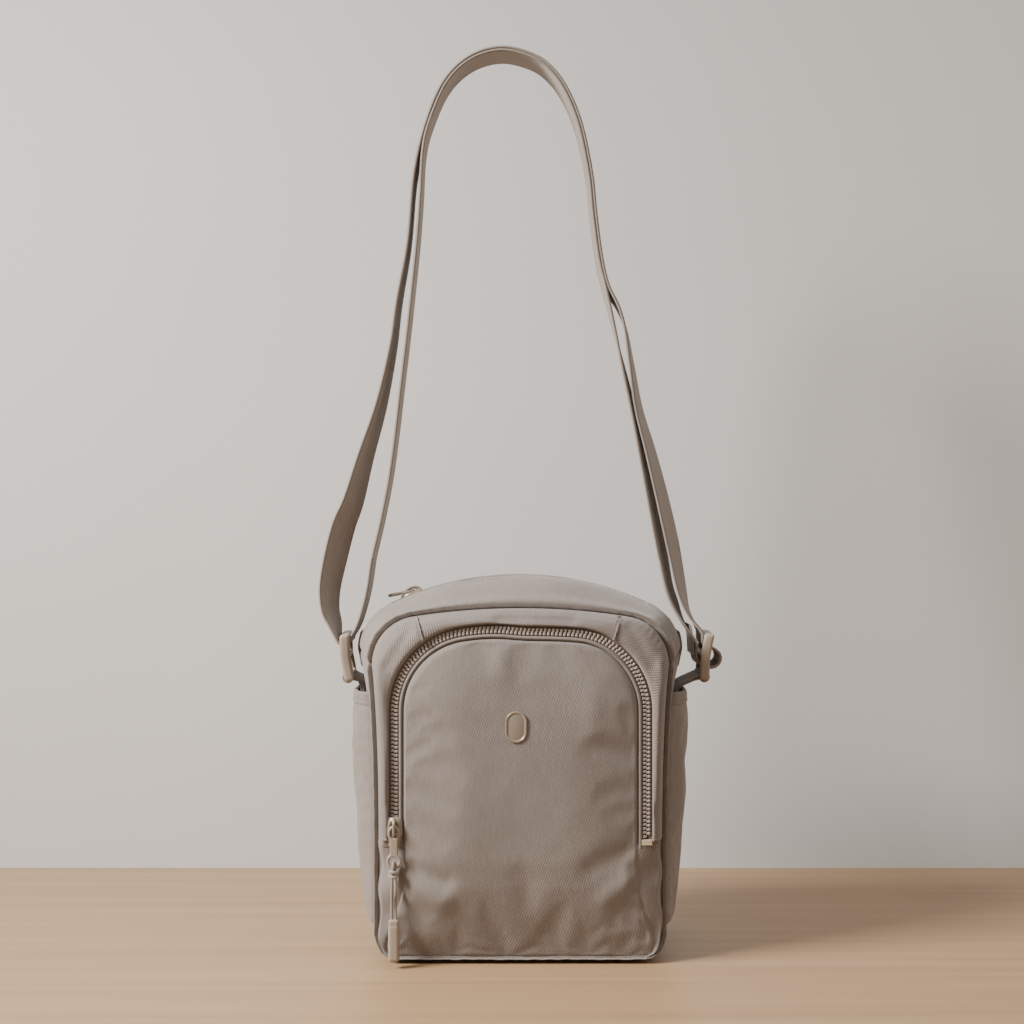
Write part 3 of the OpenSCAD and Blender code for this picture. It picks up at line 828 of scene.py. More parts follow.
class Finish(Enum):
    """Every finish on the bag and round it."""

    TWILL = Cloth("taupe_twill", (0.272, 0.233, 0.206), (0.098, 0.080, 0.068), pitch=1.3, relief=0.42)
    BINDING = Cloth("bound_edge", (0.240, 0.205, 0.180), (0.098, 0.080, 0.068), pitch=0.8)
    TAPE = Cloth("zip_tape", (0.215, 0.175, 0.145), (0.120, 0.096, 0.078), pitch=0.7, relief=0.15)
    WEBBING = Cloth("strap_webbing", (0.290, 0.243, 0.204), (0.150, 0.120, 0.096), pitch=1.5, relief=0.5,
                    weave=Effect.WEBBING, roughness=0.7)
    LINING = Cloth("inner_lining", (0.20, 0.18, 0.16), (0.11, 0.10, 0.09), pitch=0.6, by_uv=False)
    FOAM = Cloth("foam_sheet", (0.42, 0.40, 0.37), (0.30, 0.28, 0.26), pitch=0.5, by_uv=False, sheen=0.1)
    BOARD = Cloth("base_board", (0.16, 0.14, 0.12), (0.10, 0.09, 0.08), pitch=0.9, by_uv=False, sheen=0.0)
    CORD = Cloth("pull_cord", (0.340, 0.282, 0.236), (0.150, 0.122, 0.100), pitch=0.9, relief=0.2,
                 by_uv=False)
    # The second colour of each moulded finish is a painted highlight on its convex edges.
    THREAD = Moulded("sewing_thread", (0.300, 0.250, 0.213), (0.40, 0.34, 0.29), roughness=0.6)
    TEETH = Moulded("zip_teeth", (0.232, 0.194, 0.165), (0.29, 0.245, 0.21), roughness=0.6)
    PLASTIC = Moulded("moulded_plastic", (0.270, 0.213, 0.163), (0.36, 0.29, 0.23), roughness=0.45)
    ENAMEL = Moulded("painted_metal", (0.262, 0.214, 0.166), (0.38, 0.32, 0.26), roughness=0.32,
                     metallic=0.35, coat=0.25)
    STOP = Moulded("bare_stop", (0.42, 0.32, 0.21), (0.55, 0.44, 0.31), roughness=0.35, metallic=0.3)
    TABLE = Studio("pale_table", (0.40, 0.262, 0.142), (0.235, 0.146, 0.072), (0.8, 34, 1), 3.0, 0.4)
    WALL = Studio("pale_wall", (0.60, 0.588, 0.57), (0.56, 0.548, 0.53), (1, 1, 1), 3.0, 0.9, True)


class Wardrobe:
    """Keeps one material for each finish and puts it on pieces."""

    def __init__(self) -> None:
        """Start empty; materials are made when first used."""
        self.made: dict[Finish, bpy.types.Material] = {}

    def get(self, finish: Finish) -> bpy.types.Material:
        """Give a finish's material."""
        if finish not in self.made:
            self.made[finish] = finish.value.material()
        return self.made[finish]

    def dress(self, piece: bpy.types.Object, finish: Finish) -> None:
        """Put one finish all over a piece."""
        piece.data.materials.clear()
        piece.data.materials.append(self.get(finish))

    def redress_node(self, node: str, finish: Finish) -> None:
        """Give a CAD node that stays a better material."""
        for slot in bpy.data.objects[node].material_slots:
            slot.material = self.get(finish)


@dataclass
class Assembly:
    """A sub-assembly: what it needs to build and dress its pieces."""

    form: BagForm
    wardrobe: Wardrobe

    def keep(self, piece: bpy.types.Object, finish: Finish, slot: str, nodes: Sequence[str] = (),
             body: str | None = "bag") -> bpy.types.Object:
        """Dress a finished piece and hang it on its body.

        Args:
            piece: The finished mesh.
            finish: Its material.
            slot: The record's material slot; not used.
            nodes: CAD nodes that it replaces.
            body: The body it rides on, or None when it is blended.

        Returns:
            The piece.
        """
        self.wardrobe.dress(piece, finish)
        if body:
            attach(piece, body)
        if nodes:
            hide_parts(*nodes)
        LOG.info("%s: %d faces", piece.name, len(piece.data.polygons))
        return piece


# ---------------------------------------------------------------- cloth
def relax(piece: bpy.types.Object, held: np.ndarray, pressure: float, slack: float, cap: float,
          frames: int = 20) -> None:
    """Let a pinned sheet take its own shape, and keep the result in its mesh.

    Args:
        piece: The open sheet.
        held: Which vertices stay sewn in place.
        pressure: Push from behind.
        slack: Extra cloth as a share of its size.
        cap: The furthest that a point may move, in millimetres.
        frames: Steps of simulation.
    """
    Bench.pick(piece)
    pins = piece.vertex_groups.new(name="sewn")
    pins.add([int(i) for i in np.flatnonzero(held)], 1.0, "REPLACE")
    cloth = piece.modifiers.new("Cloth", "CLOTH")
    feel = cloth.settings
    feel.quality = 8
    feel.mass = 0.15
    feel.tension_stiffness = 25
    feel.compression_stiffness = 25
    feel.shear_stiffness = 15
    feel.bending_stiffness = 1.5
    feel.vertex_group_mass = pins.name
    feel.use_pressure = True
    feel.uniform_pressure_force = pressure
    feel.shrink_min = -slack
    feel.effector_weights.gravity = 0
    cloth.collision_settings.use_collision = False
    cloth.point_cache.frame_start = 1
    cloth.point_cache.frame_end = frames
    scene = bpy.context.scene
    for step in range(1, frames + 1):
        scene.frame_set(step)
    result = piece.evaluated_get(bpy.context.evaluated_depsgraph_get()).to_mesh()
    count = len(piece.data.vertices) * 3
    before, after = np.empty(count), np.empty(count)
    piece.data.vertices.foreach_get("co", before)
    result.vertices.foreach_get("co", after)
    move = (after - before).reshape(-1, 3)
    far = np.linalg.norm(move, axis=1)
    LOG.info("%s relaxed by up to %.2f mm", piece.name, far.max() / MM)
    move *= np.minimum(1, cap * MM / np.maximum(far, 1e-9))[:, None]
    piece.modifiers.remove(cloth)
    piece.vertex_groups.remove(pins)
    piece.data.vertices.foreach_set("co", before + move.ravel())
    piece.data.update()
    scene.frame_set(1)


def near_edge(points: np.ndarray, border: np.ndarray) -> np.ndarray:
    """Distance of points in the plane from a line of points."""
    a, b = border[:-1], border[1:]
    best = np.full(len(points), 1e9)
    for p, q in zip(a, b):
        d = q - p
        t = np.clip(((points - p) @ d) / max(d @ d, 1e-9), 0, 1)
        best = np.minimum(best, np.linalg.norm(points - (p + t[:, None] * d), axis=1))
    return best


def rolled(distance: np.ndarray, radius: float) -> np.ndarray:
    """How far a quarter-round edge has dropped at a distance from its end."""
    t = np.clip(1 - distance / radius, 0, 1)
    return radius * (1 - np.sqrt(np.clip(1 - t ** 2, 0, 1)))


class Stitcher:
    """Sews rows of raised stitches."""

    @staticmethod
    def row(name: str, path: np.ndarray, up: Sequence[float] | np.ndarray, pitch: float = 3.1,
            length: float = 2.3, girth: float = 0.3) -> bpy.types.Object:
        """Lay one row of stitches along a path.

        Args:
            name: The piece's name.
            path: Points in millimetres.
            up: The direction away from the cloth, one for all or one a point.
            pitch: From stitch to stitch.
            length: Of a stitch.
            girth: The thread's radius.

        Returns:
            The row as one mesh.
        """
        Bench.clear()
        bpy.ops.mesh.primitive_uv_sphere_add(segments=6, ring_count=5, radius=1)
        stitch = bpy.context.object
        stitch.scale = (girth * MM, girth * MM * 0.8, length / 2 * MM)
        Bench.settle_place(stitch)
        both = path if np.ndim(up) == 1 else np.concatenate([path, up], axis=1)
        steps = spaced(both, pitch)
        out = up if np.ndim(up) == 1 else steps[:, 3:]
        return Bench.repeat(name, stitch, frames_along(steps[:, :3], out))


# ---------------------------------------------------------------- surfaces of the shell
def coons(bottom: np.ndarray, right: np.ndarray, top: np.ndarray, left: np.ndarray) -> Place:
    """Span four edge lines in the plane.

    Args:
        bottom: From left to right.
        right: From the bottom up.
        top: From left to right.
        left: From the bottom up.

    Returns:
        A function of u and v that gives points in the plane.
    """
    def along(path: np.ndarray, t: np.ndarray) -> np.ndarray:
        """Points at even shares of a path's length."""
        run = np.concatenate([[0], np.cumsum(np.linalg.norm(np.diff(path, axis=0), axis=1))])
        at = t * run[-1]
        return np.stack([np.interp(at, run, path[:, k]) for k in (0, 1)], axis=1)

    def place(u: np.ndarray, v: np.ndarray) -> np.ndarray:
        """Points of the patch."""
        s, t = u[:, None], v[:, None]
        corners = ((1 - s) * (1 - t) * bottom[0] + s * (1 - t) * bottom[-1]
                   + (1 - s) * t * top[0] + s * t * top[-1])
        return ((1 - t) * along(bottom, u) + t * along(top, u)
                + (1 - s) * along(left, v) + s * along(right, v) - corners)
    return place


def crowded(t: np.ndarray, share: float = 0.45) -> np.ndarray:
    """Even steps from 0 to 1, drawn towards both ends."""
    return (1 - share) * t + share * (1 - np.cos(math.pi * t)) / 2


def fold(x: np.ndarray, z: np.ndarray, start: Sequence[float], end: Sequence[float],
         width: float, height: float) -> np.ndarray:
    """A soft raised fold along a line, or a groove when its height is negative."""
    a, b = np.array(start, float), np.array(end, float)
    points = np.stack([x, z], axis=1)
    t = np.clip(((points - a) @ (b - a)) / ((b - a) @ (b - a)), 0, 1)
    away = np.linalg.norm(points - (a + t[:, None] * (b - a)), axis=1)
    return height * np.exp(-(away / width) ** 2)


def face_span(outline: Outline) -> tuple[Place, np.ndarray]:
    """Span the inside of an outline, its corners half way round its own corners.

    Args:
        outline: The outline.

    Returns:
        The span, and the closed outline.
    """
    loop = outline.loop()
    n = len(loop)
    low = outline.base_steps + outline.corner_steps // 2
    high = outline.shoulder_index + outline.shoulder_steps // 2
    span = coons(np.concatenate([loop[n - low:], loop[:low + 1]]), loop[low:high + 1],
                 loop[high:n - high + 1][::-1], loop[n - high:n - low + 1][::-1])
    return span, np.concatenate([loop, loop[:1]])


@dataclass
class Shell(Assembly):
    """The gusset, the back and the inner wall of the front pocket."""

    seam_end: float = 36.9
    seam_roll: float = 2.9
    lip: float = 3.1
    base_lip: float = 4.4
    seam_allowance: float = 3.2
    stitch_y: float = 17.0
    back_y: float = 38.4
    zip_edge: float = 5.2
    zip_roll: float = 1.3
    cloth: float = 2.0

    def gusset(self, name: str, first: float, last: float, y_from: float, y_to: float,
               rows: int, seed: float) -> bpy.types.Object:
        """Build one strip of the gusset.

        Args:
            name: The piece's name.
            first: Where it starts along the outline.
            last: Where it ends.
            y_from: Its front edge.
            y_to: Its rear edge.
            rows: Cells across the strip.
            seed: Shifts its wrinkles.

        Returns:
            The strip with its thickness.
        """
        form = self.form

        def place(u: np.ndarray, v: np.ndarray) -> np.ndarray:
            """The strip's outside, rolled in at its seams."""
            index = first + u * (last - first)
            y = y_from + (y_to - y_from) * crowded(v, 0.72)
            to_seam = self.seam_end - np.abs(y)
            drop = rolled(to_seam, self.seam_roll)
            to_end = np.minimum(index - first, last - index) * 3.0
            drop += rolled(to_end, 1.1)
            if y_from > 0 or y_to < 0:
                drop += rolled(np.abs(y) - self.zip_edge, self.zip_roll)
            base = form.gusset(index, y)
            lean = wander(base, 9.0, seed)
            gather = 0.34 * np.exp(-to_seam / 6) * np.sin(index * 3.0 / 1.35 + 3 * lean)
            swell = 0.75 * wander(base, 30.0, seed + 3) + 0.3 * lean - 0.6
            swell *= smoothstep(to_seam, 0.0, 7.0)
            points = form.gusset(index, y, drop - gather - swell)
            at_base = smoothstep(14 - base[:, 2], 0, 11) * (y < 0)
            roll = np.sin(math.pi * np.clip(to_seam / 5.4, 0, 1)) ** 1.2
            points[:, 1] += np.sign(y) * (self.lip + self.base_lip * at_base) * roll
            points[:, 2] = np.maximum(points[:, 2], 0.05)
            return points

        strip = Bench.sheet(name, int(last - first), rows, place)
        Bench.face_towards(strip, (0, 0, 90))
        Bench.thicken(strip, self.cloth)
        return strip

    def back(self) -> bpy.types.Object:
        """Build the padded back panel."""
        span, closed = face_span(self.form.face)

        def place(u: np.ndarray, v: np.ndarray) -> np.ndarray:
            """A crowned panel whose edge dives into the seam."""
            flat = span(crowded(u), crowded(v))
            edge = near_edge(flat, closed)
            rise = 2.6 * (1 - (1 - np.minimum(edge / 26, 1)) ** 2) - rolled(edge, 2.4)
            points = np.stack([flat[:, 0], self.back_y + rise, flat[:, 1]], axis=1)
            points[:, 1] += 0.6 * wander(points, 40, 5.0) * smoothstep(edge, 0, 12)
            return points

        panel = Bench.sheet("back_panel_pad", 62, 72, place)
        Bench.face_towards(panel, (0, 0, 100))
        Bench.thicken(panel, 2.2)
        return panel

    def inner_wall(self) -> bpy.types.Object:
        """Build the flat wall behind the front pocket."""
        span, _ = face_span(self.form.face.inset(self.seam_allowance))

        def place(u: np.ndarray, v: np.ndarray) -> np.ndarray:
            """A flat sheet."""
            flat = span(u, v)
            wall_y = np.full_like(u, self.form.wall_y + 0.2)
            return np.stack([flat[:, 0], wall_y, flat[:, 1]], axis=1)

        wall = Bench.sheet("pocket_inner_wall", 40, 46, place)
        Bench.face_towards(wall, (0, 0, 100))
        Bench.thicken(wall, 1.6, 0)
        return wall

    def build(self) -> None:
        """Build and dress the shell."""
        outline = self.form.mid
        n = len(self.form.mid_loop)
        start = outline.shoulder_index
        seam, gap = self.seam_end, self.zip_edge
        lower = self.gusset("lower_gusset_cloth", n - start, n + start, -seam, seam, 42, 1.0)
        self.keep(lower, Finish.TWILL, "fabric", ["lower_gusset"])
        front = self.gusset("top_gusset_front_cloth", start, n - start, -seam, -gap, 22, 7.0)
        self.keep(front, Finish.TWILL, "fabric", ["top_gusset_front"])
        rear = self.gusset("top_gusset_rear_cloth", start, n - start, gap, seam, 22, 11.0)
        self.keep(rear, Finish.TWILL, "fabric", ["top_gusset_rear"])
        back = self.back()
        self.keep(back, Finish.TWILL, "fabric", ["back_panel"])
        self.keep(self.inner_wall(), Finish.TWILL, "fabric", ["pocket_back_wall"])
        for side, y in (("front", -self.stitch_y), ("rear", self.stitch_y)):
            index = np.linspace(start + 9, n - start - 9, 90)
            path = self.form.gusset(index, np.full_like(index, y), 0.45)
            seam = Stitcher.row(f"top_stitching_{side}", path, (0, 0, 1), girth=0.24)
            self.keep(seam, Finish.THREAD, "webbing")


@dataclass
class FrontPocket(Assembly):
    """The border, the swollen panel and the two wedges beside it."""

    # How far forward the panel's side edges stand at a few heights.
    profile: tuple = ((3.5, 9, 28, 46, 60), (-40.2, -41, -44, -46.5, -47.1))
    lip: float = 3.2
    panel_edge: float = 4.7
    foot_rise: float = 4.6
    valley: float = 2.8
    # The panel's fold below the zip, from its foot up, and the height where it meets the arch.
    fold_line: tuple = ((70, 3.7), (75.5, 5.4), (77.2, 10), (75, 19), (72, 28), (68.8, 38), (66.9, 47),
                        (66.55, 59))
    fold_top: float = 60.0
    bend: int = 40 + Outline.shoulder_steps
    cloth: float = 1.5

    def border_point(self, index: np.ndarray, k: np.ndarray) -> np.ndarray:
        """Points of the border between its lip at k = 0 and its seam at k = 1."""
        form = self.form
        foot = form.zip_end + self.foot_rise
        inner = sample(form.zip_arch(self.lip, foot), index)
        outline = form.face.inset(self.valley).arch(foot)
        outer = sample(outline, index)
        steps = [0, 0.03, 0.08, 0.15, 0.32, 0.6, 0.82, 0.92, 1]
        share = np.interp(k, steps, [0.0, 0.0, 0.03, 0.09, 0.3, 0.62, 0.88, 0.97, 1.0])
        depth = np.interp(k, steps, [-44.6, -46.4, -47.6, -48.1, -47.9, -46.2, -43.2, -40.9, -37.2])
        flat = inner + (outer - inner) * share[:, None]
        end = len(outline) - 1
        depth = depth + 1.3 * rolled(np.minimum(index, end - index) * 2.6, 2.6) / 2.6
        return np.stack([flat[:, 0], depth, flat[:, 1]], axis=1)

    def border(self) -> bpy.types.Object:
        """Build the cloth between the zip and the seam of the front face."""
        count = len(self.form.face.arch(80))

        def place(u: np.ndarray, v: np.ndarray) -> np.ndarray:
            """The border with its soft unevenness."""
            index, k = u * (count - 1), crowded(v, 0.5)
            points = self.border_point(index, k)
            away = smoothstep(k, 0.04, 0.3) * smoothstep(1 - k, 0.0, 0.25)
            points[:, 1] -= away * (0.9 * wander(points, 24, 2.0) + 0.3 * wander(points, 9, 4.0))
            gather = 0.35 * smoothstep(k, 0.6, 0.95) * np.sin(index * 2.1 + 3 * wander(points, 12, 6.0))
            points[:, 1] -= gather
            x, z = points[:, 0], points[:, 2]
            for side in (-1, 1):
                points[:, 1] -= away * fold(x, z, (side * 80, 172), (side * 78, 95), 3.2, 1.1)
                points[:, 1] += away * fold(x, z, (side * 62, 192), (side * 74, 170), 3.0, 0.8)
            points[:, 1] += away * fold(x, z, (-12, 197), (30, 196), 2.6, 1.0)
            points[:, 1] -= away * fold(x, z, (-18, 191.5), (32, 191), 2.6, 0.9)
            return points

        border = Bench.sheet("front_border_cloth", count - 1, 18, place)
        Bench.face_towards(border, (0, 0, 100))
        Bench.thicken(border, self.cloth)
        return border

    def yoke_seams(self) -> bpy.types.Object:
        """Build the two slim felled seams that run from the zip to the top seam."""
        index = np.linspace(0, len(self.form.face.arch(80)) - 1, 900)
        welts = []
        for side, foot, head in ((-1, 55.2, 60.2), (1, 51.4, 57.0)):
            path = []
            for k in np.linspace(0.06, 0.95, 24):
                line = self.border_point(index, np.full_like(index, k))
                off = np.abs(line[:, 0] * side - (foot + (head - foot) * k)) + 99 * (line[:, 2] < 150)
                path.append(line[np.argmin(off)])
            path = np.array(path)
            path[:, 1] -= 0.3
            welts.append(Ribbon(2.2, 1.3).build("welt", path, np.zeros(len(path)), flat_to=(0, -1, 0)))
        return Bench.join("yoke_seams", welts)

    def foot_stitches(self) -> None:
        """Sew the border's feet down between the zip and the side seams."""
        last = len(self.form.face.arch(80)) - 1
        for word, index in (("right", 1.0), ("left", last - 1.0)):
            k = np.linspace(0.12, 0.93, 20)
            path = self.border_point(np.full_like(k, index), k)
            path[:, 1] -= 0.05
            self.keep(Stitcher.row(f"border_foot_{word}_stitches", path, (0, -1, 0), 2.6, 1.9, 0.24),
                      Finish.THREAD, "webbing")

    def side_path(self, side: int, edge: float) -> np.ndarray:
        """One side edge of the panel, from its foot up to the shoulder of the arch."""
        low = spline(self.fold_line, 6)[:-1]
        arch = self.form.zip_arch(-edge, self.fold_top)
        up = arch[:self.bend + 1] if side > 0 else arch[len(arch) - 1 - self.bend:][::-1]
        return np.concatenate([low * (side, 1), up])

    def depth(self, x: np.ndarray, z: np.ndarray, edge: np.ndarray) -> np.ndarray:
        """How far forward the panel stands, given each point's distance from its edge."""
        y = np.interp(z, *self.profile)
        crown = 4.4 * np.interp(z, [3.5, 20, 60, 130, 175, 186.2], [0.1, 0.55, 1, 1, 0.7, 0.5])
        y = y - crown * (1 - (1 - np.minimum(edge / 42, 1)) ** 2)
        inside = smoothstep(edge, 0.5, 8)
        y -= inside * fold(x, z, (-9, 190), (-11, 166), 6.5, 0.9)
        y -= inside * fold(x, z, (41, 152), (40, 134), 6, 0.55)
        y += inside * fold(x, z, (-64, 57), (-42, 49), 4.5, 1.9)
        y -= inside * fold(x, z, (-63, 45), (-44, 38), 6.5, 2.3)
        y -= inside * fold(x, z, (61, 48), (49, 40), 6.5, 1.6)
        y += inside * fold(x, z, (62, 66), (40, 58), 6, 1.2)
        return y + rolled(edge, 2.4)

    def panel(self) -> bpy.types.Object:
        """Build the swollen panel of the pocket."""
        right, left = self.side_path(1, self.panel_edge), self.side_path(-1, self.panel_edge)
        arch = self.form.zip_arch(-self.panel_edge, self.fold_top)
        top = arch[self.bend:len(arch) - self.bend][::-1]
        foot_x, foot_z = self.fold_line[0]
        bottom = np.stack([np.linspace(-foot_x, foot_x, 60), np.full(60, foot_z)], axis=1)
        span = coons(bottom, right, top, left)
        rim = np.concatenate([bottom, right, top[::-1], left[::-1]])
        edges: list[np.ndarray] = []

        def place(u: np.ndarray, v: np.ndarray) -> np.ndarray:
            """The panel's outside."""
            flat = span(crowded(u, 0.5), crowded(v, 0.5))
            edge = near_edge(flat, rim)
            edges.append(edge)
            x, z = flat[:, 0], flat[:, 1]
            points = np.stack([x, self.depth(x, z, edge), z], axis=1)
            soft = smoothstep(edge, 1, 14)
            points[:, 1] -= soft * (0.7 * wander(points, 42, 8.0) + 0.18 * wander(points, 13, 2.5))
            gather = np.exp(-edge / 5) * smoothstep(edge, 0.3, 2) * smoothstep(-z, -75, -55)
            points[:, 1] -= 0.55 * gather * np.sin(z / 1.9 + 2.5 * wander(points, 14, 1.0))
            return points

        panel = Bench.sheet("pocket_panel_cloth", 76, 92, place)
        Bench.face_towards(panel, (0, 0, 100))
        relax(panel, edges[0] < 2.4, 0.6, 0.004, 0.9)
        Bench.thicken(panel, self.cloth)
        return panel

    def wedge(self, side: int) -> bpy.types.Object:
        """Build the cloth between the panel's fold and the side seam."""
        form = self.form
        low = self.side_path(side, self.panel_edge)[:, ::-1][:44]

        def place(u: np.ndarray, v: np.ndarray) -> np.ndarray:
            """The wedge, drawn in at its seam."""
            z = 4.0 + (form.zip_end + self.foot_rise + 0.8 - 4.0) * v
            inner = np.abs(np.interp(z, low[:, 0], low[:, 1])) - 1.6
            face = form.face.inset(self.valley)
            corner = 3.6 + face.corner
            under = np.clip(corner - z, 0, face.corner)
            outer = face.side_x(np.maximum(z, corner)) - face.corner \
                + np.sqrt(np.maximum(face.corner ** 2 - under ** 2, 0))
            k = crowded(u, 0.5)
            x = inner + (outer - inner) * k
            front = np.interp(z, *self.profile) + 0.6
            y = front + (-41 - front) * k ** 1.3
            y += 3.8 * smoothstep(k, 0.86, 1.0)
            y += 1.1 * rolled(form.zip_end + self.foot_rise + 0.8 - z, 2.4)
            points = np.stack([x * side, y, z], axis=1)
            full = np.sin(math.pi * np.clip(k, 0, 1))
            points[:, 1] -= full * (1.1 * np.sin(z / 5.2 + side) + 1.1 * wander(points, 15, 3.0 + side))
            points[:, 0] += side * 0.7 * smoothstep(k, 0.5, 0.9) * np.sin(z / 4.3 + 2 * side)
            return points

        cloth = Bench.sheet(f"pocket_wedge_{'right' if side > 0 else 'left'}", 16, 40, place)
        Bench.face_towards(cloth, (0, 0, 40))
        Bench.thicken(cloth, self.cloth)
        return cloth

    def build(self) -> None:
        """Build and dress the front pocket."""
        self.keep(self.border(), Finish.TWILL, "fabric", ["front_border"])
        self.keep(self.yoke_seams(), Finish.TWILL, "fabric")
        self.foot_stitches()
        panel = self.panel()
        self.keep(panel, Finish.TWILL, "fabric", ["pocket_panel"])
        for side, node in ((-1, "pocket_side_left"), (1, "pocket_side_right")):
            self.keep(self.wedge(side), Finish.TWILL, "fabric", [node])


@dataclass
class SidePockets(Assembly):
    """The two slip pockets on the gusset with their bound hems."""

    foot: float = 19.0
    hem: float = 146.0
    top: float = 154.0
    half: float = 33.6
    sewn_half: float = 33.0

    def skin(self, y: np.ndarray, z: np.ndarray) -> np.ndarray:
        """How far out the pocket's cloth stands at a depth and height."""
        form = self.form
        bulge = form.bulge(np.full_like(z, self.sewn_half))
        edge = form.face.side_x(z) * (1 - bulge) + form.mid.side_x(z) * bulge + 1.0
        out = np.interp(z, [20, 60, 120, self.top], [90.4, 95.2, 99.2, 98.0])
        return edge + (out - edge) * (1 - (np.abs(y) / self.sewn_half) ** 3)

    def pocket(self, side: int) -> bpy.types.Object:
        """Build one pocket's cloth below the hem."""
        def place(u: np.ndarray, v: np.ndarray) -> np.ndarray:
            """The pocket's outside, sewn down at three edges."""
            y = self.half * (2 * crowded(u, 0.5) - 1)
            z = self.foot + (self.hem + 0.8 - self.foot) * v
            edge = np.minimum(self.half - np.abs(y), z - self.foot)
            x = self.skin(y, z) - rolled(edge, 2.2)
            points = np.stack([x * side, y, z], axis=1)
            soft = smoothstep(edge, 0.5, 9)
            x = x + soft * (0.9 * wander(points, 26, 4.0 + side) + 0.25 * wander(points, 9, 9.0))
            gather = np.exp(-edge / 4) * smoothstep(edge, 0.2, 2)
            x += 0.4 * gather * np.sin(z / 1.7 + 2 * wander(points, 10, 2.0))
            points[:, 0] = x * side
            return points

        cloth = Bench.sheet(f"side_pocket_cloth_{'right' if side > 0 else 'left'}", 34, 54, place)
        Bench.face_towards(cloth, (0, 0, 90))
        co = np.array([v.co[:] for v in cloth.data.vertices]) / MM
        held = ((np.abs(co[:, 1]) > self.half - 1.5) | (co[:, 2] < self.foot + 1.5)
                | (co[:, 2] > self.hem - 2))
        relax(cloth, held, 0.4, 0.004, 0.7)
        Bench.thicken(cloth, 1.3)
        return cloth

    def band(self, side: int) -> bpy.types.Object:
        """Build the folded hem round the pocket's mouth."""
        def place(u: np.ndarray, v: np.ndarray) -> np.ndarray:
            """A rolled band: up the outside, over the edge and down the inside."""
            y = self.half * (2 * crowded(u, 0.5) - 1)
            turn = v * math.pi
            rise = np.clip(v * 2.2, 0, 1)
            fall = np.clip((1 - v) * 2.2, 0, 1)
            z = self.hem - 0.3 + (self.top - self.hem) * np.where(v < 0.5, rise, fall)
            back = 3.4 * smoothstep(v, 0.38, 0.62)
            x = self.skin(y, z) + 0.45 * np.sin(np.clip(turn, 0, math.pi)) + 0.35 - back
            x -= rolled(self.half - np.abs(y), 1.8)
            x += 0.5 * wander(np.stack([y, z * 0, y * 0], axis=1), 14, 7.0 + side)
            sag = 1 - (y / self.sewn_half) ** 2
            return np.stack([x * side, y, z - sag], axis=1)

        hem = Bench.sheet(f"side_pocket_binding_{'right' if side > 0 else 'left'}", 34, 14, place)
        Bench.face_towards(hem, (0, 0, 150))
        Bench.thicken(hem, 0.5, 1)
        return hem

    def build(self) -> None:
        """Build and dress both pockets."""
        for side, word in ((-1, "left"), (1, "right")):
            self.keep(self.pocket(side), Finish.TWILL, "fabric", [f"side_pocket_{word}"])
            self.keep(self.band(side), Finish.BINDING, "fabric", [f"side_pocket_hem_{word}"])
            y = np.linspace(-31, 31, 60)
            z = np.full_like(y, self.hem + 1.4) - (1 - (y / self.sewn_half) ** 2)
            wave = wander(np.stack([y, z * 0, y * 0], axis=1), 14, 7.0 + side)
            x = self.skin(y, z) + 0.9 + 0.5 * wave
            row = Stitcher.row(f"hem_stitching_{word}", np.stack([x * side, y, z], axis=1), (side, 0, 0))
            self.keep(row, Finish.THREAD, "webbing")


# ---------------------------------------------------------------- zips
@dataclass
class Zip(Assembly):
    """Shared ways to make a zip's parts."""

    pitch: float = 2.3

    def tooth(self, side: int) -> bpy.types.Object:
        """Build one moulded tooth at the origin, its chain along Z and its face along Y."""
        body = Bench.block((2.2, 1.7, 1.45), (side * 0.9, 0.2, 0), 0.35, 2)
        head = Bench.block((1.6, 2.1, 1.75), (side * 1.4, 0.12, 0), 0.5, 2)
        return Bench.join("tooth", [body, head])

    def chain(self, name: str, path: np.ndarray, out: Sequence[float]) -> bpy.types.Object:
        """Mesh two rows of teeth along a path.

        Args:
            name: The piece's name.
            path: The zip's line in millimetres.
            out: The direction that the teeth face.

        Returns:
            Both rows as one piece.
        """
        steps = spaced(path, self.pitch)
        half = spaced(path, self.pitch / 2)
        between = half[2::2][:len(steps) - 1]
        rows = [Bench.repeat("row", self.tooth(1), frames_along(steps, out)),
                Bench.repeat("row", self.tooth(-1), frames_along(between, out))]
        return Bench.join(name, rows)

    def slider(self) -> bpy.types.Object:
        """Build a slider at the origin, its zip along Z and its outside towards -Y."""
        parts = []
        for y in (-2.15, 2.15):
            plate = Bench.block((9.0, 1.3, 14.0), (0, y, 0), 0.5, 3)
            for vertex in plate.data.vertices:
                z = vertex.co.z / MM
                vertex.co.x *= 1.0 - 0.24 * max(0.0, -z / 7.0) ** 1.5 - 0.1 * max(0.0, z / 7.0) ** 2
            parts.append(plate)
        for side in (-1, 1):
            parts.append(Bench.block((1.1, 4.6, 9.0), (side * 4.0, 0, 0.6), 0.4, 2))
        parts.append(Bench.block((1.4, 4.2, 3.0), (0, 0, 5.2), 0.4, 2))
        parts.append(Bench.ring(3.0, 0.85, (0, -3.0, 0.2), (90, 0, 0), (1, 1.75, 1)))
        parts.append(Bench.ring(2.7, 0.85, (0, -3.2, 1.0), (0, 90, 0), (1.6, 1, 1)))
        return Bench.fuse("slider", parts, 0.3, 3)

    def pull(self, drop: float) -> bpy.types.Object:
        """Build a pull that hangs from the origin, with an eye at its foot.

        Args:
            drop: From its crossbar to the middle of the eye.

        Returns:
            The pull.
        """
        upper = Bench.ring(2.75, 0.9, (0, 0, -2.9), (90, 0, 0), (1, 1.3, 1))
        lower = Bench.ring(3.4, 0.95, (0, 0, -drop), (90, 0, 0))
        neck = drop - 3.2 - 6.2
        bar = Bench.block((4.6, 1.7, neck + 1.4), (0, 0, -6.4 - neck / 2), 0.6, 3)
        return Bench.fuse("pull", [upper, lower, bar], 0.26, 4)


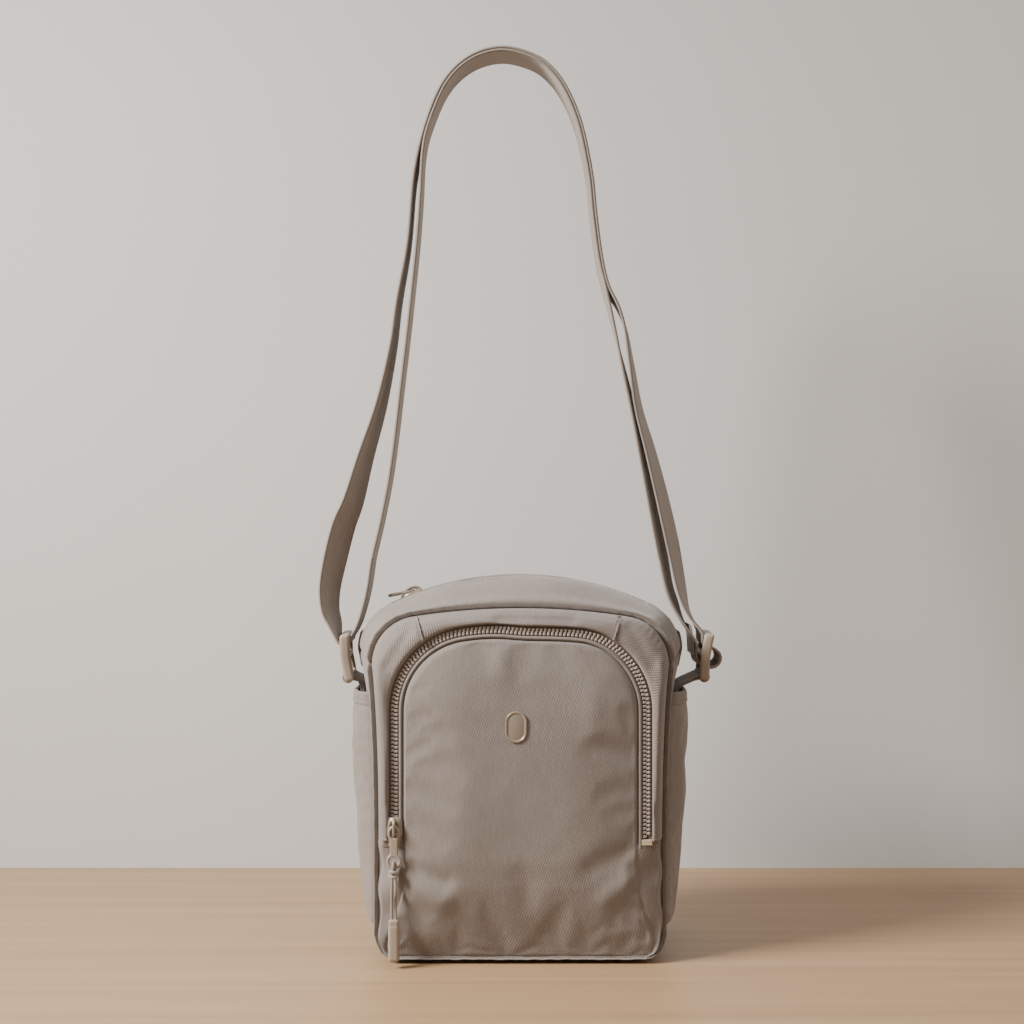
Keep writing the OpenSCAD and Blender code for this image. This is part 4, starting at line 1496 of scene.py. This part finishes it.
class PocketZip(Zip):
    """The zip that runs over the arch of the front pocket."""

    def band(self, name: str, near: float, far: float, lift: float, thick: float, rows: int,
             round_up: float = 0.0) -> bpy.types.Object:
        """Build a band along the zip between two offsets.

        Args:
            name: The piece's name.
            near: The first offset.
            far: The second offset.
            lift: How far it stands in front of the zip's plane.
            thick: Its thickness.
            rows: Cells across it.
            round_up: How far its middle bulges out.

        Returns:
            The band.
        """
        path = self.form.zip_arch(0.0, self.form.zip_end + 1)
        out = normals(path, False)
        count = len(path)

        def place(u: np.ndarray, v: np.ndarray) -> np.ndarray:
            """The band's outside."""
            index = u * (count - 1)
            d = near + (far - near) * v
            flat = sample(path, index) + sample(out, index) * d[:, None]
            y = self.form.zip_y - lift - round_up * np.sin(math.pi * v) ** 0.7
            return np.stack([flat[:, 0], y, flat[:, 1]], axis=1)

        band = Bench.sheet(name, count - 1, rows, place)
        Bench.face_towards(band, (0, 100, 100))
        Bench.thicken(band, thick, 1)
        return band

    def build(self) -> None:
        """Build and dress the pocket's zip."""
        form = self.form
        tapes = [self.band("tape", 0.5, 7.0, 0.35, 0.7, 3), self.band("tape", -7.0, -0.5, 0.35, 0.7, 3)]
        self.keep(Bench.join("pocket_zip_tape_pair", tapes), Finish.TAPE, "tape", ["pocket_zip_tapes"])
        facing = self.band("pocket_zip_facing", -4.9, -2.3, 0.6, 0.6, 8, 1.35)
        self.keep(facing, Finish.BINDING, "fabric")
        line = form.zip_arch(0.0, form.zip_end + 6.5)
        path = np.stack([line[:, 0], np.full(len(line), form.zip_y - 0.2), line[:, 1]], axis=1)
        teeth = self.chain("pocket_zip_tooth_rows", path, (0, -1, 0))
        self.keep(teeth, Finish.TEETH, "plastic", ["pocket_zip_teeth"])
        stops = [Bench.block((6.6, 2.6, 3.4), (side * form.zip_half, form.zip_y - 0.4, form.zip_end + 4.4),
                             0.6, 3) for side in (-1, 1)]
        self.keep(Bench.join("pocket_zip_end_stops", stops), Finish.STOP, "metal", ["pocket_zip_stops"])
        low, high = node_box("pocket_slider")
        at = Matrix.Translation(Vector((-form.zip_half, form.zip_y, (low[2] + high[2]) / 2)) * MM)
        slider = self.slider()
        Bench.move(slider, at)
        slider.name = "pocket_slider_body"
        self.keep(slider, Finish.ENAMEL, "metal", ["pocket_slider"], "pocket_slider")
        pull = self.pull(18.5)
        Bench.move(pull, at @ Matrix.Translation(Vector((0, -4, 1)) * MM))
        pull.name = "pocket_pull_eye"
        self.keep(pull, Finish.PLASTIC, "plastic", ["pocket_pull"], "pocket_pull")


@dataclass
class MainZip(Zip):
    """The zip along the crest of the top gusset."""

    patch_half: float = 9.0

    def end_patches(self) -> None:
        """Close both ends of the zip with a folded patch sewn over them."""
        form = self.form
        start, n = form.mid.shoulder_index, len(form.mid_loop)
        for word, middle in (("right", start + 1.0), ("left", n - start - 1.0)):
            def place(u: np.ndarray, v: np.ndarray, middle: float = middle) -> np.ndarray:
                """A patch on the gusset's surface, turned under all round."""
                index = middle + 4.2 * (2 * crowded(u, 0.6) - 1)
                y = self.patch_half * (2 * crowded(v, 0.6) - 1)
                edge = np.minimum(self.patch_half - np.abs(y), (4.2 - np.abs(index - middle)) * 2.6)
                return form.gusset(index, y, -1.1 + rolled(edge, 1.3))

            patch = Bench.sheet(f"main_zip_patch_{word}", 20, 20, place)
            Bench.face_towards(patch, (0, 0, 90))
            Bench.thicken(patch, 0.7, 1)
            self.keep(patch, Finish.TWILL, "fabric")
            y = np.linspace(1.6 - self.patch_half, self.patch_half - 1.6, 24)
            for side in (-1, 1):
                line = form.gusset(np.full_like(y, middle + 3.3 * side), y, -1.15)
                end = "high" if side > 0 else "low"
                row = Stitcher.row(f"main_zip_patch_{word}_{end}_stitches", line, (0, 0, 1), 2.4, 1.8, 0.22)
                self.keep(row, Finish.THREAD, "webbing")

    def on_arc(self, angle: float, radius: float, y: float) -> tuple[float, float, float]:
        """A point on the crest's arc at an angle in degrees from the top."""
        centre = self.form.mid.crest - self.form.mid.crown
        a = math.radians(angle)
        return (radius * math.sin(a), y, centre + radius * math.cos(a))

    def build(self) -> None:
        """Build and dress the main zip."""
        radius = self.form.mid.crown - 2.9
        span = 25.0
        tapes = []
        for side in (-1, 1):
            def place(u: np.ndarray, v: np.ndarray, side: int = side) -> np.ndarray:
                """One tape on the arc."""
                a = -span + 2 * span * u
                return np.array([self.on_arc(p, radius + 0.4, side * (0.6 + 13 * q)) for p, q in zip(a, v)])
            tape = Bench.sheet("tape", 60, 5, place)
            Bench.face_towards(tape, (0, 0, 0))
            Bench.thicken(tape, 0.6, 0)
            tapes.append(tape)
        self.keep(Bench.join("main_zip_tape_pair", tapes), Finish.TAPE, "tape", ["main_zip_tapes"])
        path = np.array([self.on_arc(a, radius + 0.4, 0) for a in np.linspace(1 - span, span - 1, 90)])
        teeth = self.chain("main_zip_tooth_rows", path, (0, 0, 1))
        self.keep(teeth, Finish.TEETH, "plastic", ["main_zip_teeth"])
        stops = []
        for side in (-1, 1):
            stop = Bench.block((2.2, 6.4, 2.4), (0, 0, 0), 0.5, 3)
            angle = side * (span - 0.6)
            at = Matrix.Translation(Vector(self.on_arc(angle, radius + 0.9, 0)) * MM)
            Bench.move(stop, at @ Matrix.Rotation(math.radians(angle), 4, "Y"))
            stops.append(stop)
        self.keep(Bench.join("main_zip_end_stops", stops), Finish.STOP, "metal", ["main_zip_stops"])
        self.end_patches()
        rest = -20.5
        upright = (Matrix.Translation(Vector(self.on_arc(rest, radius + 0.22, 0)) * MM)
                   @ Matrix.Rotation(math.radians(rest), 4, "Y") @ Matrix.Rotation(math.radians(90), 4, "Y")
                   @ Matrix.Rotation(math.radians(-90), 4, "Z"))
        slider = self.slider()
        Bench.move(slider, upright)
        slider.name = "main_slider_body"
        self.keep(slider, Finish.ENAMEL, "metal", ["main_slider"], "main_slider")
        pull = self.pull(10.5)
        Bench.move(pull, upright @ Matrix.Translation(Vector((0, -4, 1)) * MM)
                   @ Matrix.Rotation(math.radians(-9), 4, "X"))
        pull.name = "main_pull_eye"
        self.keep(pull, Finish.PLASTIC, "plastic", ["main_pull"], "main_pull")


# ---------------------------------------------------------------- the strap
@dataclass(frozen=True)
class Ribbon:
    """Flat webbing of one width and thickness."""

    width: float
    thick: float

    def section(self) -> np.ndarray:
        """The closed cross-section as shares across and heights, with fuller woven edges."""
        half, t = self.width / 2, self.thick / 2
        top = [(-1, 0), (-0.985, 0.75), (-0.94, 1.12), (-0.88, 1.0), (-0.45, 0.94), (0, 0.92),
               (0.45, 0.94), (0.88, 1.0), (0.94, 1.12), (0.985, 0.75)]
        under = [(-a, -b) for a, b in top]
        return np.array(top + under) * (half, t)

    def build(self, name: str, path: np.ndarray, twist: np.ndarray,
              flat_to: Sequence[float] | None = None) -> bpy.types.Object:
        """Sweep the webbing along a path.

        Args:
            name: The piece's name.
            path: Points in millimetres.
            twist: Degrees at each point, turning its front edge to the left of the bag.
            flat_to: The way its face looks, or None when its width runs along Y.

        Returns:
            The webbing as a closed piece.
        """
        ring = self.section()
        count, around = len(path), len(ring)
        along = np.gradient(path, axis=0)
        along /= np.linalg.norm(along, axis=1)[:, None]
        if flat_to is None:
            side = np.stack([along[:, 2], np.zeros(count), -along[:, 0]], axis=1)
            side /= np.linalg.norm(side, axis=1)[:, None]
            turn = np.radians(twist)[:, None]
            width = np.sin(turn) * side + np.cos(turn) * np.array([0, 1, 0])
            face = np.cos(turn) * side - np.sin(turn) * np.array([0, 1, 0])
        else:
            face = np.tile(np.array(flat_to, float), (count, 1))
            width = np.cross(face, along)
            width /= np.linalg.norm(width, axis=1)[:, None]

        def place(u: np.ndarray, v: np.ndarray) -> np.ndarray:
            """The surface of the sweep."""
            i = np.clip(np.round(u * (count - 1)).astype(int), 0, count - 1)
            j = np.round(v * around).astype(int) % around
            return path[i] + width[i] * ring[j, :1] + face[i] * ring[j, 1:]

        piece = Bench.sheet(name, count - 1, around, place)
        Bench.merge(piece, 0.002)
        Bench.pick(piece)
        bpy.ops.object.mode_set(mode="EDIT")
        bpy.ops.mesh.select_all(action="DESELECT")
        bpy.ops.mesh.select_mode(type="EDGE")
        bpy.ops.mesh.select_non_manifold()
        bpy.ops.mesh.edge_face_add()
        bpy.ops.mesh.select_mode(type="VERT")
        bpy.ops.object.mode_set(mode="OBJECT")
        Bench.outward(piece)
        Bench.smooth(piece, 55)
        return piece


@dataclass(frozen=True)
class Anchor:
    """One buckle's place: its lower bar and its lean."""

    x: float
    z: float
    lean: float
    yaw: float = 0.0

    @property
    def matrix(self) -> Matrix:
        """From the buckle's own frame to the bag's, in metres."""
        return (Matrix.Translation(Vector((self.x, 0, self.z)) * MM)
                @ Matrix.Rotation(math.radians(self.yaw), 4, "Z")
                @ Matrix.Rotation(math.radians(self.lean), 4, "Y"))

    def hung(self, points: Sequence[Sequence[float]]) -> list[tuple[float, float, float]]:
        """Put points of the buckle's frame into the bag's, each with no twist."""
        c, s = math.cos(math.radians(self.lean)), math.sin(math.radians(self.lean))
        return [(self.x + x * c + z * s, self.z - x * s + z * c, 0.0) for x, z in points]


@dataclass
class Strap(Assembly):
    """The doubled webbing, its buckles and the tabs that hold them."""

    web: Ribbon = Ribbon(25.0, 1.6)
    left: Anchor = Anchor(-101.5, 159.5, -6.7, 3.0)
    right: Anchor = Anchor(108.5, 160.0, 6.7, -3.0)
    # Keys of the webbing's middle seen from the front: x, height and twist.
    rise_left = [(-110.2, 230, 27), (-105.3, 249, 27), (-99.5, 264, 23), (-92.3, 290, 16), (-83, 321, 9),
                 (-75.9, 355, 4), (-72.3, 382, 2), (-66.3, 417, 0), (-62.6, 457, 0)]
    crown = [(-55.5, 487, 0), (-45, 511, 0), (-30, 525.5, 0), (-11, 531, 0), (8, 526.5, 0), (20, 517.5, 0),
             (29, 504, 0), (36.5, 484.5, 0), (42.3, 456.5, 0), (44.8, 432.5, 0), (48.2, 407, 0), (52, 391, 0)]
    fall_right = [(58.8, 378.5, -4), (63, 366, -7), (66.4, 346, -10), (70.8, 319, -14), (77.7, 294, -18),
                  (84.3, 268, -21), (89.8, 244, -22), (92.7, 230, -21)]
    inner_left = [(-87.2, 230, 0), (-82.8, 249, 0), (-77.8, 274, 0), (-74.3, 298, 0), (-70.8, 328, 0),
                  (-67.6, 355, 0), (-64.6, 382, 0), (-61, 417, 0), (-58.9, 445, 0), (-57.6, 469, 0)]
    inner_right = [(55.6, 369, -3), (62.2, 341, -8), (68.6, 314, -12), (75.4, 282, -16), (81.5, 251, -18),
                   (85.4, 230, -17)]
    doubled: float = 1.72
    split_z: float = 230.0

    @staticmethod
    def run(keys: Sequence[Sequence[float]], per_span: int) -> tuple[np.ndarray, np.ndarray]:
        """Turn keys into a path in the bag's frame and its twists."""
        curve = spline(keys, per_span)
        path = np.stack([curve[:, 0], np.zeros(len(curve)), curve[:, 1]], axis=1)
        return path, curve[:, 2]

    def between(self, keys: Sequence[Sequence[float]]) -> tuple[np.ndarray, np.ndarray]:
        """Give the part of a run between its two keys at the split height, and its twists."""
        path, twist = self.run(keys, 8)
        at = np.flatnonzero(np.isclose(path[:, 2], self.split_z))
        return path[at[0]:at[-1] + 1], twist[at[0]:at[-1] + 1]

    def keys_outer(self) -> list:
        """Keys of the outer run from the left turn to the right turn."""
        return [(-113.6, 212, 23), *self.rise_left, *self.crown, *self.fall_right, (96.6, 210, -17)]

    def keys_inner(self) -> list:
        """Keys of the inner run, which lies under the outer one over the crown."""
        flat = np.array([(x, z) for x, z, _ in self.crown], float)
        under = flat + normals(flat, False) * self.doubled
        return [(-90, 212, 0), *self.inner_left, *[(x, z, 0) for x, z in under], *self.inner_right,
                (89, 212, -15)]

    def keys_left(self) -> list:
        """Keys of the webbing's way round the top bar of the left buckle."""
        bend = [(4.2 * math.cos(a), 23.7 + 4.2 * math.sin(a))
                for a in np.radians([-10, -45, -90, -135, -175])]
        return [(-82.8, 249, 0), (-87.2, 230, 0), (-90, 212, 0), (-93.4, 198, 0), (-96.6, 189, 0),
                *self.left.hung(bend), (-110.6, 190.5, 10), (-113.4, 199, 17), (-113.6, 212, 23),
                (-110.2, 230, 27), (-105.3, 249, 27)]

    def keys_right(self) -> list:
        """Keys of the webbing's way through both slots of the right buckle, with a loose bight."""
        bight = [(-4.6, 26), (-3.4, 20.5), (-1, 17.9), (3, 17.2), (7.2, 14.6), (8.2, 10.2), (5.2, 6.4),
                 (0, 5.9), (-4.2, 7.6), (-6.4, 13), (-7.6, 20)]
        return [(89.8, 244, -22), (92.7, 230, -21), (96.6, 210, -17), (100.6, 197, -8),
                *self.right.hung(bight), (97, 192, 6), (92.6, 202, 13), (89, 212, 15), (85.4, 230, 17),
                (81.5, 251, 18)]

    def buckle(self, name: str) -> bpy.types.Object:
        """Build a three-bar buckle at the origin, its lower bar on the Y axis."""
        widths = np.array([-16.9, -12.9, 12.9, 16.9])
        heights = np.array([-1.85, 1.75, 11.1, 14.4, 22.2, 25.7])
        Bench.clear()
        bpy.ops.mesh.primitive_grid_add(x_subdivisions=3, y_subdivisions=5, size=2)
        plate = bpy.context.object
        plate.name = name
        for vertex in plate.data.vertices:
            column, row = round((vertex.co.x + 1) * 1.5), round((vertex.co.y + 1) * 2.5)
            vertex.co = Vector((0, widths[column], heights[row])) * MM
        bpy.ops.object.mode_set(mode="EDIT")
        bpy.ops.mesh.select_mode(type="FACE")
        bpy.ops.mesh.select_all(action="DESELECT")
        bpy.ops.object.mode_set(mode="OBJECT")
        for face in plate.data.polygons:
            z = face.center.z / MM
            inside = abs(face.center.y) < MM and (2 < z < 11 or 15 < z < 22)
            face.select = inside
        bpy.ops.object.mode_set(mode="EDIT")
        bpy.ops.mesh.delete(type="FACE")
        bpy.ops.mesh.select_mode(type="VERT")
        bpy.ops.object.mode_set(mode="OBJECT")
        wall = plate.modifiers.new("Wall", "SOLIDIFY")
        wall.thickness = 5.8 * MM
        wall.offset = 0
        edge = plate.modifiers.new("Edge", "BEVEL")
        edge.width = 1.6 * MM
        edge.segments = 4
        edge.limit_method = "ANGLE"
        Bench.finish_modifiers(plate)
        Bench.outward(plate)
        for vertex in plate.data.vertices:
            vertex.co.x += 0.9 * MM * ((vertex.co.z / MM - 12) / 12) ** 2 - 0.45 * MM
        Bench.smooth(plate, 35)
        return plate

    def tab(self, side: int, anchor: Anchor) -> bpy.types.Object:
        """Build a folded tab: two layers sewn to the gusset and a loop round the bar."""
        bar_x, bar_z = abs(anchor.x), anchor.z
        leg = [(90.0, 131), (90.9, 140), (91.8, 148), (93.2, 154), (bar_x - 7.0, bar_z - 1.6)]
        curve = spline(leg, 6)
        step = normals(curve, False)
        outer, inner = curve + step * 0.62, curve - step * 0.62
        loop_r = 2.75
        arc = [(bar_x + loop_r * math.cos(a), bar_z + loop_r * math.sin(a))
               for a in np.radians(np.linspace(-158, 158, 22))]
        flat = np.concatenate([outer, arc, inner[::-1]])
        path = np.stack([flat[:, 0] * side, np.zeros(len(flat)), flat[:, 1]], axis=1)
        word = "right" if side > 0 else "left"
        return Ribbon(24.6, 1.15).build(f"tab_{word}_webbing", path, np.zeros(len(path)))

    def build(self) -> None:
        """Build and dress the strap."""
        for word, keys in (("outer", self.keys_outer()), ("inner", self.keys_inner())):
            webbing = self.web.build(f"strap_{word}_webbing", *self.between(keys))
            self.keep(webbing, Finish.WEBBING, "webbing", [f"strap_{word}_run"], None)
            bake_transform(webbing)
        for word, side, anchor, keys in (("left", -1, self.left, self.keys_left()),
                                         ("right", 1, self.right, self.keys_right())):
            webbing = self.web.build(f"strap_{word}_turn_webbing", *self.between(keys))
            self.keep(webbing, Finish.WEBBING, "webbing", [f"strap_turn_{word}"], None)
            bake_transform(webbing)
            buckle = self.buckle(f"buckle_{word}_frame")
            Bench.move(buckle, anchor.matrix)
            self.keep(buckle, Finish.PLASTIC, "plastic", [f"buckle_{word}"], f"buckle_{word}")
            self.keep(self.tab(side, anchor), Finish.WEBBING, "webbing", [f"tab_{word}"])
        self.sewn_end()
        self.bartacks(self.between(self.keys_outer())[0])

    def sewn_end(self) -> None:
        """Build the webbing's end, sewn flat on the inner strand at the right."""
        path, _ = self.run(self.right.hung([(-8.0, 12), (-9.2, 19), (-10.3, 24), (-11.8, 29)]), 5)
        end = Ribbon(24.4, 1.2).build("strap_sewn_end", path, np.zeros(len(path)))
        self.keep(end, Finish.WEBBING, "webbing", ["strap_join"], "buckle_right")

    def bartacks(self, path: np.ndarray) -> None:
        """Sew dense bars through both layers where they part."""
        bars = []
        for spot in ((-59.5, 472), (49.6, 401)):
            at = path[np.argmin(np.hypot(path[:, 0] - spot[0], path[:, 2] - spot[1]))]
            near = np.argmin(np.linalg.norm(path - at, axis=1))
            along = Vector(path[near + 1] - path[near - 1]).normalized()
            out = Vector((along.z, 0, -along.x)) * -1
            for shift in (-1.2, 0, 1.2):
                middle = at + np.array(along) * shift + np.array(out) * 0.85
                line = np.stack([np.full(30, middle[0]), np.linspace(-10.5, 10.5, 30),
                                 np.full(30, middle[2])], axis=1)
                bars.append(Stitcher.row("bar", line, tuple(out), 1.9, 1.8, 0.32))
        stitching = Bench.join("strap_bar_stitching", bars)
        self.keep(stitching, Finish.THREAD, "webbing", ["strap_bartacks"], "strap")


# ---------------------------------------------------------------- small hardware
class Trim(Assembly):
    """The badge and the pull's cord with its moulded tip."""

    # The cord's way from the tip up through the eye and back, in metres.
    route = [(-0.07235, -0.049, 0.028), (-0.07235, -0.0496, 0.035), (-0.07225, -0.0506, 0.044),
             (-0.07195, -0.0513, 0.051), (-0.07165, -0.0516, 0.05705), (-0.07155, -0.0508, 0.05895),
             (-0.07125, -0.049, 0.05965), (-0.07095, -0.0474, 0.05895), (-0.07085, -0.04705, 0.05705),
             (-0.07055, -0.0475, 0.051), (-0.07025, -0.0481, 0.044), (-0.07015, -0.0488, 0.035),
             (-0.07015, -0.049, 0.028)]

    def tip(self) -> bpy.types.Object:
        """Build the moulded tip that holds both ends of the cord."""
        low, high = node_box("pocket_pull_tip")
        mid, size = (low + high) / 2, high - low
        body = Bench.block((size[0], size[1], size[2] - 2.6), (mid[0], mid[1], mid[2] - 1.3), 1.9, 5)
        collar = Bench.block((size[0] - 0.8, size[1] - 0.5, 4.2), (mid[0], mid[1], high[2] - 2.1), 1.2, 4)
        tip = Bench.fuse("pull_tip_moulding", [body, collar], 0.3, 3)
        self.keep(tip, Finish.PLASTIC, "plastic", ["pocket_pull_tip"], "pocket_cord")
        return tip

    def hitch(self) -> bpy.types.Object:
        """Build the turns of cord that hold the loop on the eye."""
        x, y, z = (v / MM for v in self.route[3])
        turns = [Bench.ring(2.1, 0.8, (x + 0.7, y + 1.2, z + rise), (lean, 8, 0), (1, 1.15, 1))
                 for rise, lean in ((1.9, 14), (3.6, -12))]
        knot = Bench.join("pull_cord_hitch", turns)
        self.keep(knot, Finish.CORD, "webbing", (), "pocket_cord")
        return knot

    def cord(self, tip: bpy.types.Object) -> None:
        knot = self.hitch()
        Bench.clear()
        curve = bpy.data.curves.new("pull_cord_loop", "CURVE")
        curve.dimensions = "3D"
        strand = curve.splines.new("BEZIER")
        strand.bezier_points.add(len(self.route) - 1)
        for point, place in zip(strand.bezier_points, self.route):
            point.co = place
            point.handle_left_type = point.handle_right_type = "AUTO"
        curve.bevel_depth = 0.8 * MM
        curve.bevel_resolution = 4
        curve.resolution_u = 6
        curve.use_fill_caps = True
        piece = bpy.data.objects.new("pull_cord_loop", curve)
        bpy.context.collection.objects.link(piece)
        self.wardrobe.dress(piece, Finish.CORD)
        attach(piece, "pocket_cord")
        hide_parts("pocket_pull_cord")

    def badge(self) -> None:
        """Build the plain badge: a lozenge with round ends and a raised rim."""
        low, high = node_box("badge")
        x, z = (low[0] + high[0]) / 2, (low[2] + high[2]) / 2
        y, wide, tall = low[1] + 0.85, high[0] - low[0], high[2] - low[2]
        Bench.clear()
        bpy.ops.mesh.primitive_cylinder_add(vertices=48, radius=wide / 2 * MM, depth=1.6 * MM)
        badge = bpy.context.object
        for vertex in badge.data.vertices:
            vertex.co.y += math.copysign((tall - wide) / 2 * MM, vertex.co.y)
        bpy.ops.object.mode_set(mode="EDIT")
        bpy.ops.mesh.select_all(action="DESELECT")
        bpy.ops.object.mode_set(mode="OBJECT")
        for face in badge.data.polygons:
            face.select = face.normal.z > 0.9
        bpy.ops.object.mode_set(mode="EDIT")
        bpy.ops.mesh.select_mode(type="FACE")
        bpy.ops.mesh.inset(thickness=0.9 * MM)
        bpy.ops.mesh.inset(thickness=0.35 * MM, depth=-0.5 * MM)
        bpy.ops.mesh.inset(thickness=1.4 * MM, depth=0.35 * MM)
        bpy.ops.mesh.select_mode(type="VERT")
        bpy.ops.object.mode_set(mode="OBJECT")
        edge = badge.modifiers.new("Edge", "BEVEL")
        edge.width = 0.28 * MM
        edge.segments = 3
        Bench.finish_modifiers(badge)
        Bench.smooth(badge, 40)
        badge.name = "front_badge"
        upright = Matrix.Rotation(math.radians(90), 4, "X")
        Bench.move(badge, Matrix.Translation(Vector((x, y, z)) * MM) @ upright)
        self.keep(badge, Finish.ENAMEL, "metal", ["badge"])

    def build(self) -> None:
        """Build and dress the trim."""
        self.badge()


class Inside(Assembly):
    """CAD nodes that stay as they are, inside the bag."""

    def build(self) -> None:
        """Give each kept node its finish."""
        for node, finish in (("lining", Finish.LINING), ("inner_pocket", Finish.LINING),
                             ("back_foam", Finish.FOAM), ("front_foam", Finish.FOAM),
                             ("front_seam_binding", Finish.LINING), ("back_seam_binding", Finish.LINING),
                             ("base_board", Finish.BOARD), ("badge_washer", Finish.ENAMEL)):
            self.wardrobe.redress_node(node, finish)


# ---------------------------------------------------------------- the studio
@dataclass
class Room:
    """The table, the wall, the lights and the camera."""

    wardrobe: Wardrobe
    camera_at: tuple = (-0.0048, -0.838, 0.257)
    lens: float = 49.32
    wall_y: float = 0.175

    def camera(self) -> None:
        """Set the camera level with the lower strap, looking straight at the front."""
        bpy.ops.object.camera_add(location=self.camera_at, rotation=(math.radians(90), 0, 0))
        camera = bpy.context.object
        camera.data.lens = self.lens
        camera.data.sensor_width = 36
        camera.data.clip_start = 0.01
        bpy.context.scene.camera = camera

    def surfaces(self) -> None:
        """Lay the table and stand the wall behind it."""
        Bench.clear()
        bpy.ops.mesh.primitive_plane_add(size=6, location=(0, 0, 0))
        table = bpy.context.object
        table.name = "table_top"
        Bench.settle_place(table)
        self.wardrobe.dress(table, Finish.TABLE)
        bpy.ops.mesh.primitive_plane_add(size=6, location=(0, self.wall_y, 3),
                                         rotation=(math.radians(90), 0, 0))
        wall = bpy.context.object
        wall.name = "wall"
        Bench.settle_place(wall)
        self.wardrobe.dress(wall, Finish.WALL)

    @staticmethod
    def lamp(name: str, at: Sequence[float], aim: Sequence[float], size: float, power: float,
             colour: Sequence[float], spread: float = 180) -> None:
        """Hang one soft square lamp.

        Args:
            name: Its name.
            at: Where it hangs.
            aim: What it points at.
            size: The side of its panel.
            power: In watts.
            colour: Its tint.
            spread: How wide its beam opens, in degrees.
        """
        bpy.ops.object.light_add(type="AREA", location=at)
        lamp = bpy.context.object
        lamp.name = name
        lamp.data.size = size
        lamp.data.energy = power
        lamp.data.color = colour
        lamp.data.spread = math.radians(spread)
        lamp.rotation_euler = (Vector(aim) - Vector(at)).to_track_quat("-Z", "Y").to_euler()

    def lights(self) -> None:
        """Light the bag softly from the upper left of its front."""
        self.lamp("key", (-1.12, -0.5, 0.98), (0.12, -0.12, 0.05), 0.45, 15.5, (1.0, 0.97, 0.94), 85)
        self.lamp("fill", (1.3, -0.7, 1.1), (0.75, 0.17, 0.4), 1.0, 9.0, (1.0, 0.93, 0.86))
        self.lamp("top", (-0.1, -0.45, 1.6), (0, 0, 0.1), 1.0, 5, (1.0, 0.98, 0.96))
        world = bpy.data.worlds.new("studio_air")
        world.use_nodes = True
        world.node_tree.nodes["Background"].inputs["Color"].default_value = (0.93, 0.94, 1.0, 1)
        world.node_tree.nodes["Background"].inputs["Strength"].default_value = 0.21
        bpy.context.scene.world = world


def main() -> None:
    """Build the room, the bag and its strap, and report each piece."""
    logging.basicConfig(level=logging.INFO, format="%(name)s: %(message)s")
    Effects.build()
    wardrobe = Wardrobe()
    form = BagForm()
    room = Room(wardrobe)
    room.camera()
    trim = Trim(form, wardrobe)
    trim.cord(trim.tip())
    for assembly in (Shell, FrontPocket, SidePockets, PocketZip, MainZip, Strap, Inside):
        assembly(form, wardrobe).build()
    trim.build()
    room.surfaces()
    room.lights()


if __name__ == "__main__":
    main()
